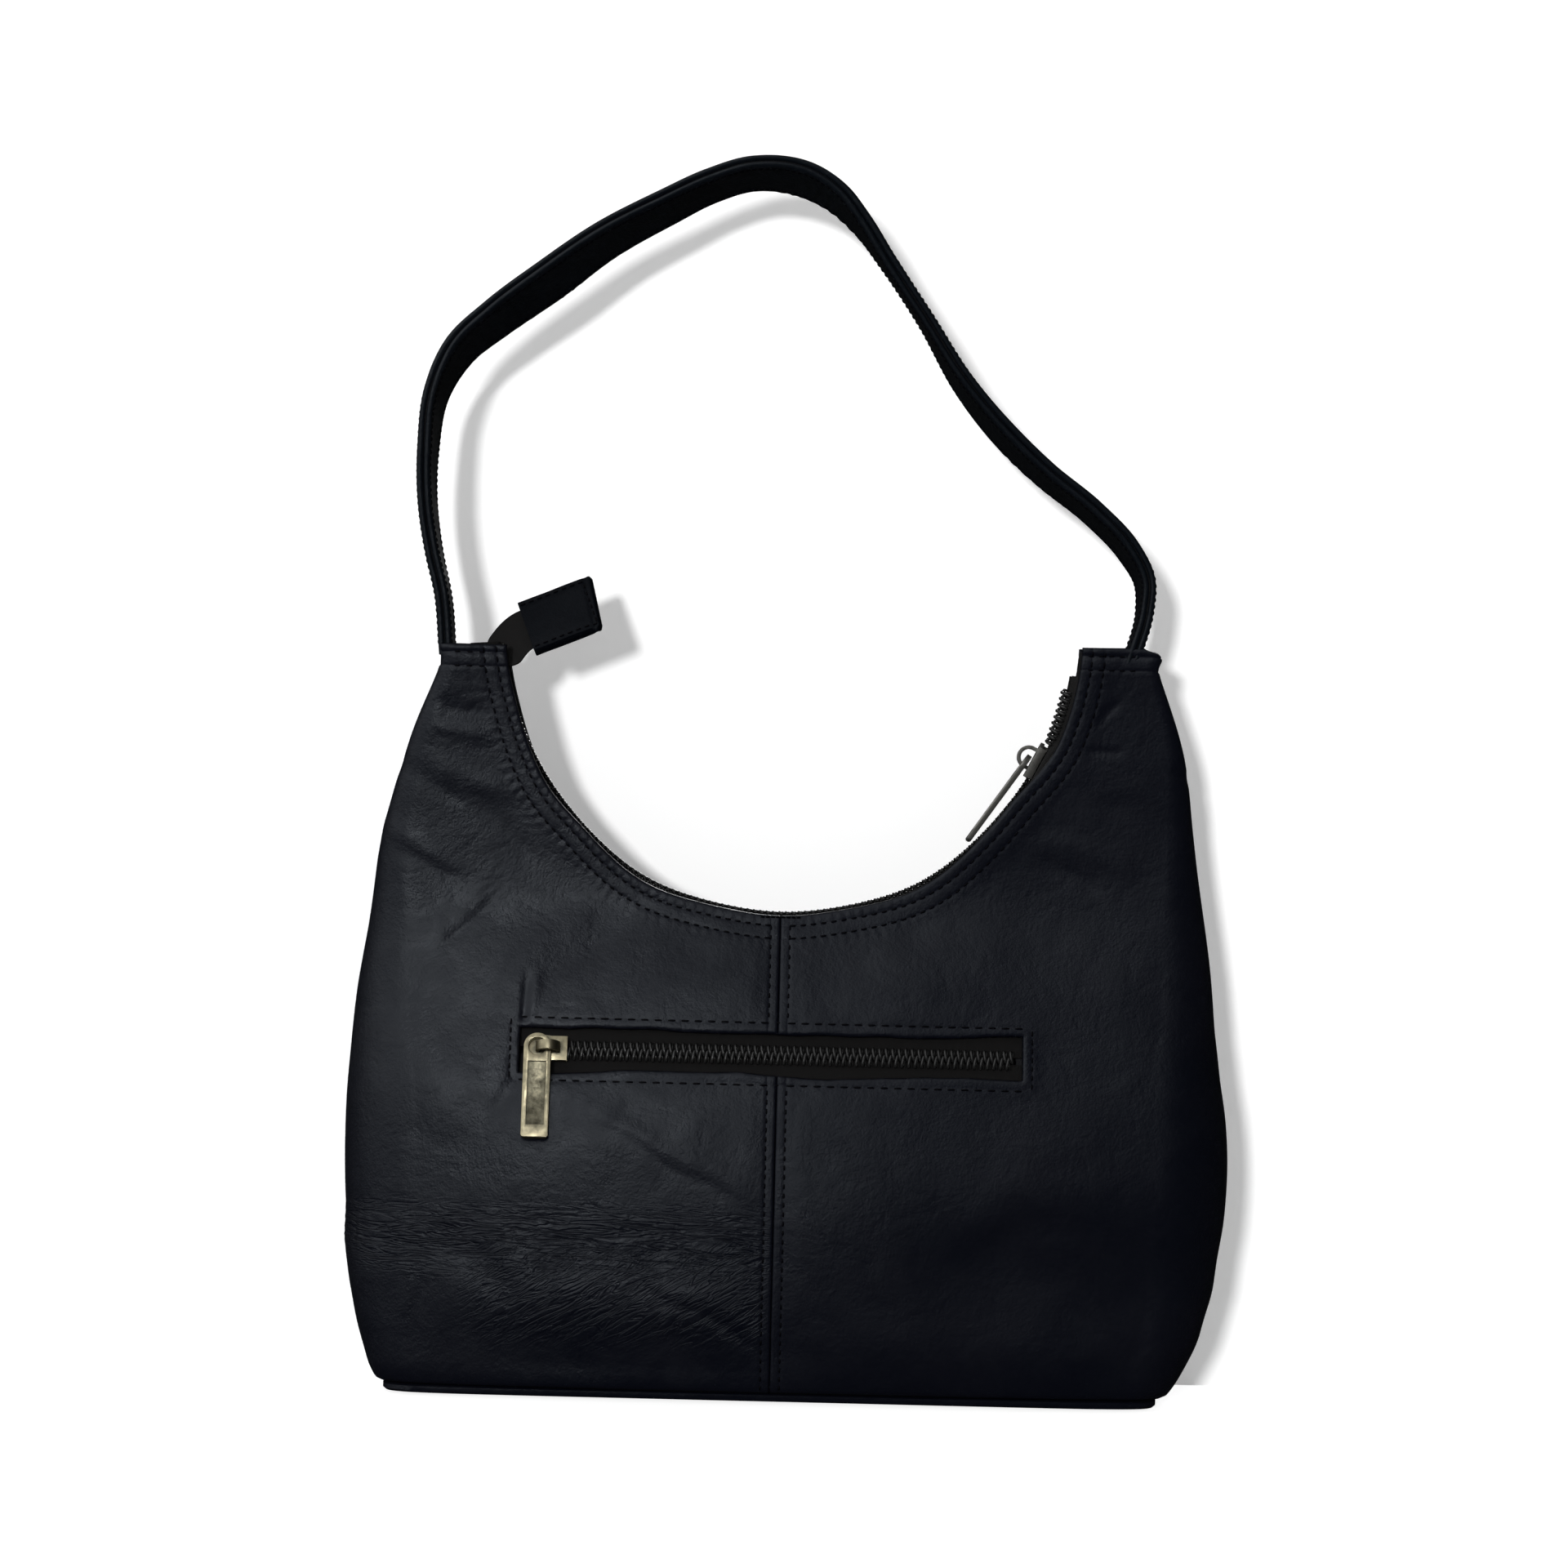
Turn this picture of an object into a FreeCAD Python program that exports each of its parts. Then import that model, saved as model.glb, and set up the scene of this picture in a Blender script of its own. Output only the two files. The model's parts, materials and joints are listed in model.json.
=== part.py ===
import FreeCAD, Part
import Sketcher
import math
import os

# A hobo bag: soft leather body with a curved zipped mouth, a zipped front pocket
# and one shoulder strap.  Millimetres and degrees.
# X runs to the bag's right-hand ear, Y from the front to the back, Z up.
# The origin is the middle of the base, on the surface the bag stands on.

Vector = FreeCAD.Vector
X_AXIS = Vector(1, 0, 0)
Y_AXIS = Vector(0, 1, 0)
Z_AXIS = Vector(0, 0, 1)

os.makedirs("parts", exist_ok=True)
document = FreeCAD.newDocument("hobo_bag")

# ---------------------------------------------------------------- driving sizes

DRIVING_SIZES = [
    ("ear_top", 239.0, "height of the ear tops above the base"),
    ("base_thickness", 2.6, "base leather with its turned edge"),
    ("leather_thickness", 1.3, "outer leather"),
    ("lining_thickness", 0.7, "lining cloth"),
    ("lining_inset", 7.6, "outer leather face to the lining"),
    ("lining_top", 204.0, "top of the lining in the two arms"),
    ("mouth_radius", 90.0, "radius of the mouth's leather edge"),
    ("mouth_centre_height", 243.0, "height of the mouth arc's centre"),
    ("facing_width", 14.0, "facing strip inside the mouth"),
    ("facing_thickness", 1.0, "facing strip"),
    ("zip_pitch", 2.05, "distance from one coil loop to the next"),
    ("chain_width", 6.0, "both coils, closed"),
    ("coil_height", 1.3, "coil above its tape"),
    ("tooth_depth", 1.7, "how far one coil's loops reach"),
    ("tooth_clearance", 0.12, "between meshing loops"),
    ("tape_thickness", 0.6, "zip tape"),
    ("tape_seam_gap", 3.2, "between the two tapes under the coil"),
    ("tape_drop", 0.9, "chain centre to the back of the tape"),
    ("chain_below_mouth", 1.0, "mouth's leather edge down to the main chain's centre line"),
    ("main_tape_half_width", 6.6, "flat part of the main tape"),
    ("main_tape_leg_out", 8.1, "half width at the end of the turned-down part"),
    ("main_tape_leg_length", 10.0, "mouth's leather edge down to the tape's lower edge"),
    ("main_zip_left_drop", 0.8, "left ear top down to the end of the chain"),
    ("main_zip_right_drop", 11.8, "right ear top down to the end of the tape"),
    ("main_open_length", 27.16, "open chain from the slider's middle to the right end"),
    ("main_open_spread", 3.0, "coils held apart beyond the slider"),
    ("window_centre_x", -2.0, "pocket window"),
    ("window_height", 108.5, "height of the window's middle"),
    ("window_length", 157.0, "pocket window, end to end"),
    ("window_width", 13.0, "pocket window, top to bottom"),
    ("window_corner", 2.5, "corner radius of the window"),
    ("pocket_tape_width", 12.0, "each pocket tape"),
    ("pocket_tape_margin", 2.0, "tape past each end of the window"),
    ("pocket_tape_gap", 0.5, "panel to the pocket tape behind it"),
    ("pocket_coil_end_gap", 0.5, "pocket coil's end to the window's right end"),
    ("pocket_slider_inset", 8.8, "window's left end to the middle of the closed slider"),
    ("pocket_sheet_thickness", 0.5, "pocket cloth"),
    ("pocket_sheet_inset", 5.4, "outer leather face to the nearer pocket sheet"),
    ("pocket_sheet_gap", 0.4, "between the pocket sheets"),
    ("pocket_bottom", 20.0, "height of the pocket's bottom edge"),
    ("pocket_bag_width", 166.0, "pocket cloth"),
    ("pocket_front_drop", 8.0, "window middle down to the front sheet's top"),
    ("pocket_back_rise", 13.0, "window middle up to the back sheet's top"),
    ("slider_length", 12.0, "zip slider"),
    ("slider_width", 8.6, "zip slider at its shoulders"),
    ("slider_plate", 1.2, "each plate of the slider"),
    ("slider_gap", 2.6, "between the slider's plates"),
    ("slider_rail", 0.6, "thickness of the slider's side rails"),
    ("slider_clearance", 0.3, "chain to the slider's rails"),
    ("wedge_half_width", 1.2, "slider's dividing wedge"),
    ("crown_inside", 2.6, "inner radius of the crown loop"),
    ("crown_bar", 1.2, "thickness of the crown loop"),
    ("crown_width", 3.0, "width of the crown loop"),
    ("crown_lift", 1.3, "crown centre above the top plate"),
    ("pull_length", 34.0, "pull tab"),
    ("pull_width", 8.6, "pull tab"),
    ("pull_thickness", 1.6, "pull tab"),
    ("pull_eye", 5.6, "diameter of the pull tab's eye"),
    ("pull_rim", 1.5, "raised border of the pull tab"),
    ("pull_recess", 0.3, "depth of the tab's sunk middle"),
    ("pull_tip_chamfer", 0.5, "worn edge at the tab's tip"),
    ("pull_rest_gap", 0.3, "tab to the chain that it lies on"),
    ("strap_width", 22.0, "shoulder strap"),
    ("strap_strip", 1.45, "each leather strip of the strap"),
    ("strap_core", 1.34, "core between the strips"),
    ("strap_layer_gap", 0.08, "glue line between strip and core"),
    ("strap_core_inset", 1.2, "core edge inside the strip's edge"),
    ("strap_foot_x", 108.7, "strap's middle where it enters the ear"),
    ("strap_hinge_rise", 11.5, "ear top to the line the strap folds about"),
    ("strap_foot_gap", 0.4, "moving strap to the sewn tail"),
    ("strap_tail_length", 25.0, "strap sewn inside the ear"),
    ("strap_tail_width", 21.0, "sewn tail, pressed by the ear"),
    ("zip_tail_rise", 1.3, "start of the zip's tail above the ear"),
    ("tail_tape_width", 16.0, "trimmed tapes of the zip's tail"),
    ("tail_tab_length", 24.0, "folded leather tab"),
    ("tail_tab_width", 22.0, "folded leather tab"),
    ("tail_tab_thickness", 3.8, "folded leather tab"),
    ("tail_tab_slope", 22.4, "how steeply the tab points up"),
    ("tail_tab_twist", 54.0, "how far the tab is turned about its length"),
    ("tail_tab_rise", 4.8, "tab's near end above the ear top"),
    ("tail_tab_reach", 8.0, "ear corner to the tab's near end"),
    ("tail_tab_pocket", 15.0, "tape inside the tab"),
    ("tail_coil_gap", 0.05, "tail's coil to its tape"),
    ("tail_upright", 3.6, "how far the tail runs straight at each end of its bend"),
]

sheet = document.addObject("Spreadsheet::Sheet", "Sizes")
for row, (alias, number, meaning) in enumerate(DRIVING_SIZES, start=1):
    sheet.set(f"A{row}", meaning)
    sheet.set(f"B{row}", str(number))
    sheet.setAlias(f"B{row}", alias)
document.recompute()


class Sizes:
    """Reads a driving size from the spreadsheet by its alias."""

    def __getattr__(self, alias):
        return float(sheet.get(alias))


size = Sizes()

# Shape of the body at several heights: half width, half depth in the middle,
# half depth near the sides, corner radius.  Heights are shares of the way from
# the base to the mouth's low point, or from there to the ear tops.
BELLY_SECTIONS = [
    (0.00, 126.0, 36.0, 34.0, 14.0),
    (0.17, 133.5, 40.0, 36.5, 20.0),
    (0.36, 138.6, 40.5, 37.5, 24.0),
    (0.59, 139.8, 34.5, 34.5, 24.0),
    (0.83, 136.8, 22.5, 22.5, 17.0),
    (1.00, 132.8, 10.0, 17.5, 13.0),
]
ARM_SECTIONS = [
    (0.31, 128.6, 8.0, 15.0, 9.0),
    (0.60, 124.0, 6.5, 14.0, 6.0),
    (1.00, 113.0, 2.7, 14.0, 3.5),
]
FACE_SEGMENTS = 6
CORNER_SEGMENTS = 4
SMALLEST_CORNER = 0.8
SMALLEST_HALF_DEPTH = 0.5
HIDDEN_MARGIN = 60.0

mouth_low = size.mouth_centre_height - size.mouth_radius
main_chain_radius = size.mouth_radius + size.chain_below_mouth
pocket_slider_x = (size.window_centre_x - size.window_length / 2 + size.pocket_slider_inset)
mouth_centre = Vector(0, 0, size.mouth_centre_height)

# ---------------------------------------------------------------- helpers

finished = []


def keep(item, name):
    """Marks a document object as one sub-part of the bag."""
    item.Label = name
    finished.append(item)
    return item


def feature(name, shape, place=None):
    """A sub-part whose shape is made by Part's functions."""
    item = document.addObject("Part::Feature", name)
    item.Shape = shape
    if place is not None:
        item.Placement = place
    return keep(item, name)


def polygon_face(points):
    return Part.Face(Part.makePolygon(list(points) + [points[0]]))


def flat_faced_solid(faces):
    """A solid from flat faces that share their edges."""
    shell = Part.makeShell(faces)
    shell.sewShape()
    solid = Part.Solid(shell)
    if solid.Volume < 0:
        solid.reverse()
    return solid


def flat_faced_loft(rings):
    """A solid through closed rings of points, with flat triangles between the rings.

    The second half of each ring is split the other way, so that faces back to back match.
    """
    faces = [polygon_face(rings[0]), polygon_face(rings[-1])]
    count = len(rings[0])
    for lower, upper in zip(rings, rings[1:]):
        for here in range(count):
            after = (here + 1) % count
            if here < count // 2:
                faces.append(polygon_face([lower[here], lower[after], upper[after]]))
                faces.append(polygon_face([lower[here], upper[after], upper[here]]))
            else:
                faces.append(polygon_face([lower[here], lower[after], upper[here]]))
                faces.append(polygon_face([lower[after], upper[after], upper[here]]))
    return flat_faced_solid(faces)


def box_between(low, high):
    return Part.makeBox(high[0] - low[0], high[1] - low[1], high[2] - low[2], Vector(*low))


def turned_to_back(shape):
    """The same shape mirrored to the back of the bag."""
    return shape.mirror(Vector(0, 0, 0), Y_AXIS)


def mouth_cylinder(radius):
    return Part.makeCylinder(radius, HIDDEN_MARGIN * 4,
                             Vector(0, -HIDDEN_MARGIN * 2, size.mouth_centre_height), Y_AXIS)


# ---------------------------------------------------------------- leather body


def body_sections():
    """Height, half width, middle and side half depths and corner radius, base to ear top."""
    arm_height = size.ear_top - mouth_low
    sections = [(share * mouth_low, *rest) for share, *rest in BELLY_SECTIONS]
    sections += [(mouth_low + share * arm_height, *rest) for share, *rest in ARM_SECTIONS]
    return sections


def section_ring(height, half_width, middle, side, corner, inset):
    """Points of a horizontal outline of the body, moved in by inset."""
    half_width -= inset
    middle = max(middle - inset, SMALLEST_HALF_DEPTH)
    side -= inset
    corner = max(corner - inset, SMALLEST_CORNER)
    straight = half_width - corner
    bow = middle - side

    front = []
    for number in range(FACE_SEGMENTS + 1):
        share = 2 * number / FACE_SEGMENTS - 1
        front.append((share * straight, side + bow * (1 - share ** 2)))
    turn = []
    for number in range(1, CORNER_SEGMENTS + 1):
        angle = math.radians(90 * number / CORNER_SEGMENTS)
        turn.append((straight + corner * math.sin(angle), side - corner * (1 - math.cos(angle))))
    half = [(-x, y) for x, y in reversed(turn)] + front + turn
    ring = [Vector(x, -y, height) for x, y in half]
    ring += [Vector(x, y, height) for x, y in reversed(half)]
    return ring


def body_form(inset):
    """The body as one solid block, moved in by inset on every side."""
    return flat_faced_loft([section_ring(*section, inset) for section in body_sections()])


def leather_layer(outside, inside, low, high):
    """The front half of a skin between two insets and two heights, cut by the mouth."""
    skin = body_form(outside).cut(body_form(inside))
    skin = skin.cut(mouth_cylinder(size.mouth_radius))
    reach = HIDDEN_MARGIN * 4
    return skin.common(box_between((-reach, -reach, low), (reach, 0, high)))


def window_solid():
    """The slot that is cut through the front leather for the pocket zip."""
    half_length = size.window_length / 2
    half_width = size.window_width / 2
    low = (size.window_centre_x - half_length, -HIDDEN_MARGIN, size.window_height - half_width)
    high = (size.window_centre_x + half_length, 0, size.window_height + half_width)
    block = box_between(low, high)
    ends = [edge for edge in block.Edges if abs(edge.tangentAt(edge.FirstParameter).y) > 0.9]
    return block.makeFillet(size.window_corner, ends)


def side_box(sign):
    """The space on one side of the centre seam."""
    reach = HIDDEN_MARGIN * 4
    low_x, high_x = (0, reach) if sign > 0 else (-reach, 0)
    return box_between((low_x, -reach, -reach), (high_x, reach, reach * 2))


def make_leather():
    skin = leather_layer(0, size.leather_thickness, size.base_thickness, size.ear_top)
    front_skin = skin.cut(window_solid())
    back_skin = turned_to_back(skin)
    for side_name, sign in (("left", -1), ("right", 1)):
        feature(f"front_panel_{side_name}", front_skin.common(side_box(sign)))
        feature(f"back_panel_{side_name}", back_skin.common(side_box(sign)))
    reach = HIDDEN_MARGIN * 4
    slab = box_between((-reach, -reach, 0), (reach, reach, size.base_thickness))
    feature("base_panel", body_form(0).common(slab))


def make_facings():
    """Strips inside the mouth that the zip tapes are sewn to."""
    outside = size.leather_thickness
    strip = leather_layer(outside, outside + size.facing_thickness, size.base_thickness,
                          size.ear_top)
    strip = strip.common(mouth_cylinder(size.mouth_radius + size.facing_width))
    feature("front_mouth_facing", strip)
    feature("back_mouth_facing", turned_to_back(strip))


def make_lining():
    inside = size.lining_inset + size.lining_thickness
    cloth = body_form(size.lining_inset).cut(body_form(inside))
    cloth = cloth.cut(mouth_cylinder(size.mouth_radius + size.facing_width))
    reach = HIDDEN_MARGIN * 4
    floor = size.base_thickness
    cloth = cloth.common(box_between((-reach, -reach, floor), (reach, 0, size.lining_top)))
    feature("lining_front", cloth)
    feature("lining_back", turned_to_back(cloth))


def make_pocket_bag():
    """Two cloth sheets that hang behind the pocket zip, between leather and lining."""
    half = size.pocket_bag_width / 2
    reach = HIDDEN_MARGIN * 4
    nearer = size.pocket_sheet_inset
    further = nearer + size.pocket_sheet_thickness + size.pocket_sheet_gap
    tops = (size.window_height - size.pocket_front_drop, size.window_height + size.pocket_back_rise)
    for name, inset, top in (("pocket_bag_front", nearer, tops[0]),
                             ("pocket_bag_back", further, tops[1])):
        cloth = body_form(inset).cut(body_form(inset + size.pocket_sheet_thickness))
        low = (size.window_centre_x - half, -reach, size.pocket_bottom)
        high = (size.window_centre_x + half, 0, top)
        feature(name, cloth.common(box_between(low, high)))


# ---------------------------------------------------------------- main zip

slider_half_height = size.slider_gap / 2 + size.slider_plate
crown_centre_height = slider_half_height + size.crown_lift


def around_mouth(profile, start, end):
    """Turns a face in the (radius, y) plane about the mouth's centre.

    Angles are from straight down, positive towards the right ear.
    """
    points = [Vector(0, across, size.mouth_centre_height - radius) for radius, across in profile]
    face = polygon_face(points)
    face.rotate(mouth_centre, Y_AXIS, -start)
    return face.revolve(mouth_centre, Y_AXIS, start - end)


def main_angle(length):
    """The angle that a length takes along the main chain."""
    return math.degrees(length / main_chain_radius)


def angle_at_drop(drop):
    """The angle at which the back of the main tape is this far below the ear top."""
    below_centre = size.mouth_centre_height - size.ear_top + drop
    return math.degrees(math.acos(below_centre / (main_chain_radius + size.tape_drop)))


def main_zip_left_end():
    return angle_at_drop(size.main_zip_left_drop)


def main_zip_right_end():
    return angle_at_drop(size.main_zip_right_drop)


def main_slider_angle():
    """The slider's place on the chain, from straight down to the right."""
    return main_zip_right_end() - main_angle(size.main_open_length)


def main_tape(sign):
    back = main_chain_radius + size.tape_drop
    face = back - size.tape_thickness
    inner = size.tape_seam_gap / 2
    flat = size.main_tape_half_width
    leg = size.main_tape_leg_out
    end = size.mouth_radius + size.main_tape_leg_length
    thickness = size.tape_thickness
    profile = [(face, inner), (face, flat), (end, leg), (end, leg - thickness),
               (back, flat - thickness), (back, inner)]
    return around_mouth([(radius, sign * across) for radius, across in profile],
                        -main_zip_left_end(), main_zip_right_end())


def coil_levels():
    """Heights of the coil's underside and top above the chain's centre line."""
    low = -size.tape_drop + size.tape_thickness
    return low, low + size.coil_height


def loop_line(start, end, pitch, shift, root, tip):
    """Corners of a coil's inner edge: roots and tips by turns, as (place along, across)."""
    corners = [(start, root)]
    for number in range(int((end - start) / pitch - 1)):
        base = start + pitch * (number + shift)
        corners += [(base + pitch * 0.25, root), (base + pitch * 0.75, tip)]
    return corners + [(corners[-1][0] + pitch * 0.5, root), (end, root)]


def coil_edges(spread):
    """Outer edge, root and tip of a coil's loops, measured from the middle of the chain."""
    outer = size.chain_width / 2 + spread
    overlap = size.tooth_depth / 2
    return outer, spread + overlap, spread - overlap + size.tooth_clearance


def main_coil_run(sign, start, end, spread):
    """One coil along the mouth, as a rack whose loops reach across the seam."""
    low, high = coil_levels()
    outer, root, tip = coil_edges(spread)
    shift = 0.5 if sign > 0 else 0
    edge = loop_line(start, end, main_angle(size.zip_pitch), shift, root, tip)

    def at(angle, across, level):
        turn = FreeCAD.Rotation(Y_AXIS, -angle)
        return mouth_centre + turn.multVec(
            Vector(0, sign * across, level - main_chain_radius))

    faces = []
    for number in range(0, len(edge) - 1):
        (first, across_first), (second, across_second) = edge[number], edge[number + 1]
        inner = [(first, across_first), (second, across_second)]
        outside = [(first, outer), (second, outer)]
        for level in (low, high):
            a, b = (at(*place, level) for place in inner)
            c, d = (at(*place, level) for place in outside)
            faces += [polygon_face([a, b, d]), polygon_face([a, d, c])]
        for pair in (inner, outside):
            a, b = (at(*place, low) for place in pair)
            c, d = (at(*place, high) for place in pair)
            faces += [polygon_face([a, b, d]), polygon_face([a, d, c])]
    for angle, across in (edge[0], edge[-1]):
        faces.append(polygon_face([at(angle, across, low), at(angle, outer, low),
                                   at(angle, outer, high), at(angle, across, high)]))
    return flat_faced_solid(faces)


def make_main_zip():
    half_slider = main_angle(size.slider_length / 2)
    closed_end = main_slider_angle()
    open_start = closed_end + half_slider + main_angle(size.zip_pitch / 2)
    for name, sign in (("front", -1), ("back", 1)):
        feature(f"main_zip_tape_{name}", main_tape(sign))
        closed = main_coil_run(sign, -main_zip_left_end(), closed_end, 0)
        apart = main_coil_run(sign, open_start, main_zip_right_end(), size.main_open_spread)
        feature(f"main_zip_coil_{name}", Part.makeCompound([closed, apart]))


# ---------------------------------------------------------------- pocket zip


def front_face_at(height):
    """Half depth of the flat front band that holds the pocket window, and its slope."""
    sections = body_sections()
    lower = [section for section in sections if section[0] <= height][-1]
    upper = [section for section in sections if section[0] > height][0]
    rise = upper[0] - lower[0]
    fall = lower[2] - upper[2]
    depth = lower[2] - fall * (height - lower[0]) / rise
    return depth, math.degrees(math.atan2(fall, rise))


window_depth, window_tilt = front_face_at(size.window_height)

# The pocket zip is drawn flat: x along the chain, y up the panel, z outwards.
panel_turn = FreeCAD.Rotation(X_AXIS, 90 - window_tilt)
tape_face_below_panel = size.leather_thickness + size.pocket_tape_gap
chain_below_panel = tape_face_below_panel + size.tape_thickness - size.tape_drop
panel_outward = panel_turn.multVec(Z_AXIS)
window_middle = Vector(0, -window_depth, size.window_height)
pocket_zip_centre = window_middle - panel_outward * chain_below_panel
pocket_place = FreeCAD.Placement(pocket_zip_centre, panel_turn)

pocket_zip_start = size.window_centre_x - size.window_length / 2 - size.pocket_tape_margin
pocket_zip_end = size.window_centre_x + size.window_length / 2 + size.pocket_tape_margin


def pocket_coil(sign):
    """One coil of the pocket zip: a rack of loops pushed out from its outline."""
    low, high = coil_levels()
    outer, root, tip = coil_edges(0)
    shift = 0.5 if sign > 0 else 0
    end = pocket_zip_end - size.pocket_tape_margin - size.pocket_coil_end_gap
    edge = loop_line(pocket_slider_x, end, size.zip_pitch, shift, root, tip)
    outline = [(pocket_slider_x, outer), *edge, (end, outer)]
    face = polygon_face([Vector(x, sign * y, low) for x, y in outline])
    return face.extrude(Vector(0, 0, high - low))


def make_pocket_zip():
    for name, sign in (("upper", 1), ("lower", -1)):
        tape = document.addObject("Part::Box", f"pocket_zip_tape_{name}")
        tape.setExpression("Length", "Sizes.window_length + 2 * Sizes.pocket_tape_margin")
        tape.setExpression("Width", "Sizes.pocket_tape_width")
        tape.setExpression("Height", "Sizes.tape_thickness")
        inner = size.tape_seam_gap / 2
        low_y = inner if sign > 0 else -inner - size.pocket_tape_width
        corner = Vector(pocket_zip_start, low_y, -size.tape_drop)
        tape.Placement = pocket_place.multiply(FreeCAD.Placement(corner, FreeCAD.Rotation()))
        keep(tape, f"pocket_zip_tape_{name}")
        feature(f"pocket_zip_coil_{name}", pocket_coil(sign), pocket_place)


# ---------------------------------------------------------------- sketched hardware


def new_body(name):
    body = document.addObject("PartDesign::Body", name)
    return keep(body, name)


def origin_plane(body, role):
    return [plane for plane in body.Origin.OriginFeatures if plane.Role == role][0]


def new_sketch(body, name, role="XY_Plane", level="0"):
    """A sketch on one of the body's own origin planes, moved along its normal."""
    sketch = body.newObject("Sketcher::SketchObject", name)
    sketch.AttachmentSupport = [(origin_plane(body, role), "")]
    sketch.MapMode = "FlatFace"
    sketch.setExpression("AttachmentOffset.Base.z", level)
    return sketch


def fix_point(sketch, geometry, point, across, along):
    """Holds a sketch point at two expressions of the driving sizes."""
    for kind, expression in (("DistanceX", across), ("DistanceY", along)):
        number = float(sheet.evalExpression(expression))
        rule = sketch.addConstraint(Sketcher.Constraint(kind, -1, 1, geometry, point, number))
        sketch.setExpression(f"Constraints[{rule}]", expression)


def sketch_corners(sketch, corners):
    """A closed run of straight edges through corners given as expressions."""
    values = [Vector(float(sheet.evalExpression(a)), float(sheet.evalExpression(b)), 0)
              for a, b in corners]
    first = len(sketch.Geometry)
    for start, end in zip(values, values[1:] + values[:1]):
        sketch.addGeometry(Part.LineSegment(start, end))
    for number, (across, along) in enumerate(corners):
        following = first + (number + 1) % len(corners)
        sketch.addConstraint(Sketcher.Constraint("Coincident", first + number, 2, following, 1))
        fix_point(sketch, first + number, 1, across, along)


def sketch_circle(sketch, across, along, radius):
    centre = Vector(float(sheet.evalExpression(across)), float(sheet.evalExpression(along)), 0)
    span = float(sheet.evalExpression(radius))
    number = sketch.addGeometry(Part.Circle(centre, Z_AXIS, span))
    fix_point(sketch, number, 3, across, along)
    rule = sketch.addConstraint(Sketcher.Constraint("Radius", number, span))
    sketch.setExpression(f"Constraints[{rule}]", radius)


def pad(body, sketch, name, length):
    item = body.newObject("PartDesign::Pad", name)
    item.Profile = sketch
    item.setExpression("Length", length)
    sketch.Visibility = False
    return item


def mirrored_corners(corners):
    """The outline given for one side, closed with its mirror image below."""
    return corners + [(across, f"-({along})") for across, along in reversed(corners)]


SLIDER_REAR = "Sizes.chain_width / 2 + Sizes.slider_clearance + Sizes.slider_rail"


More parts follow.
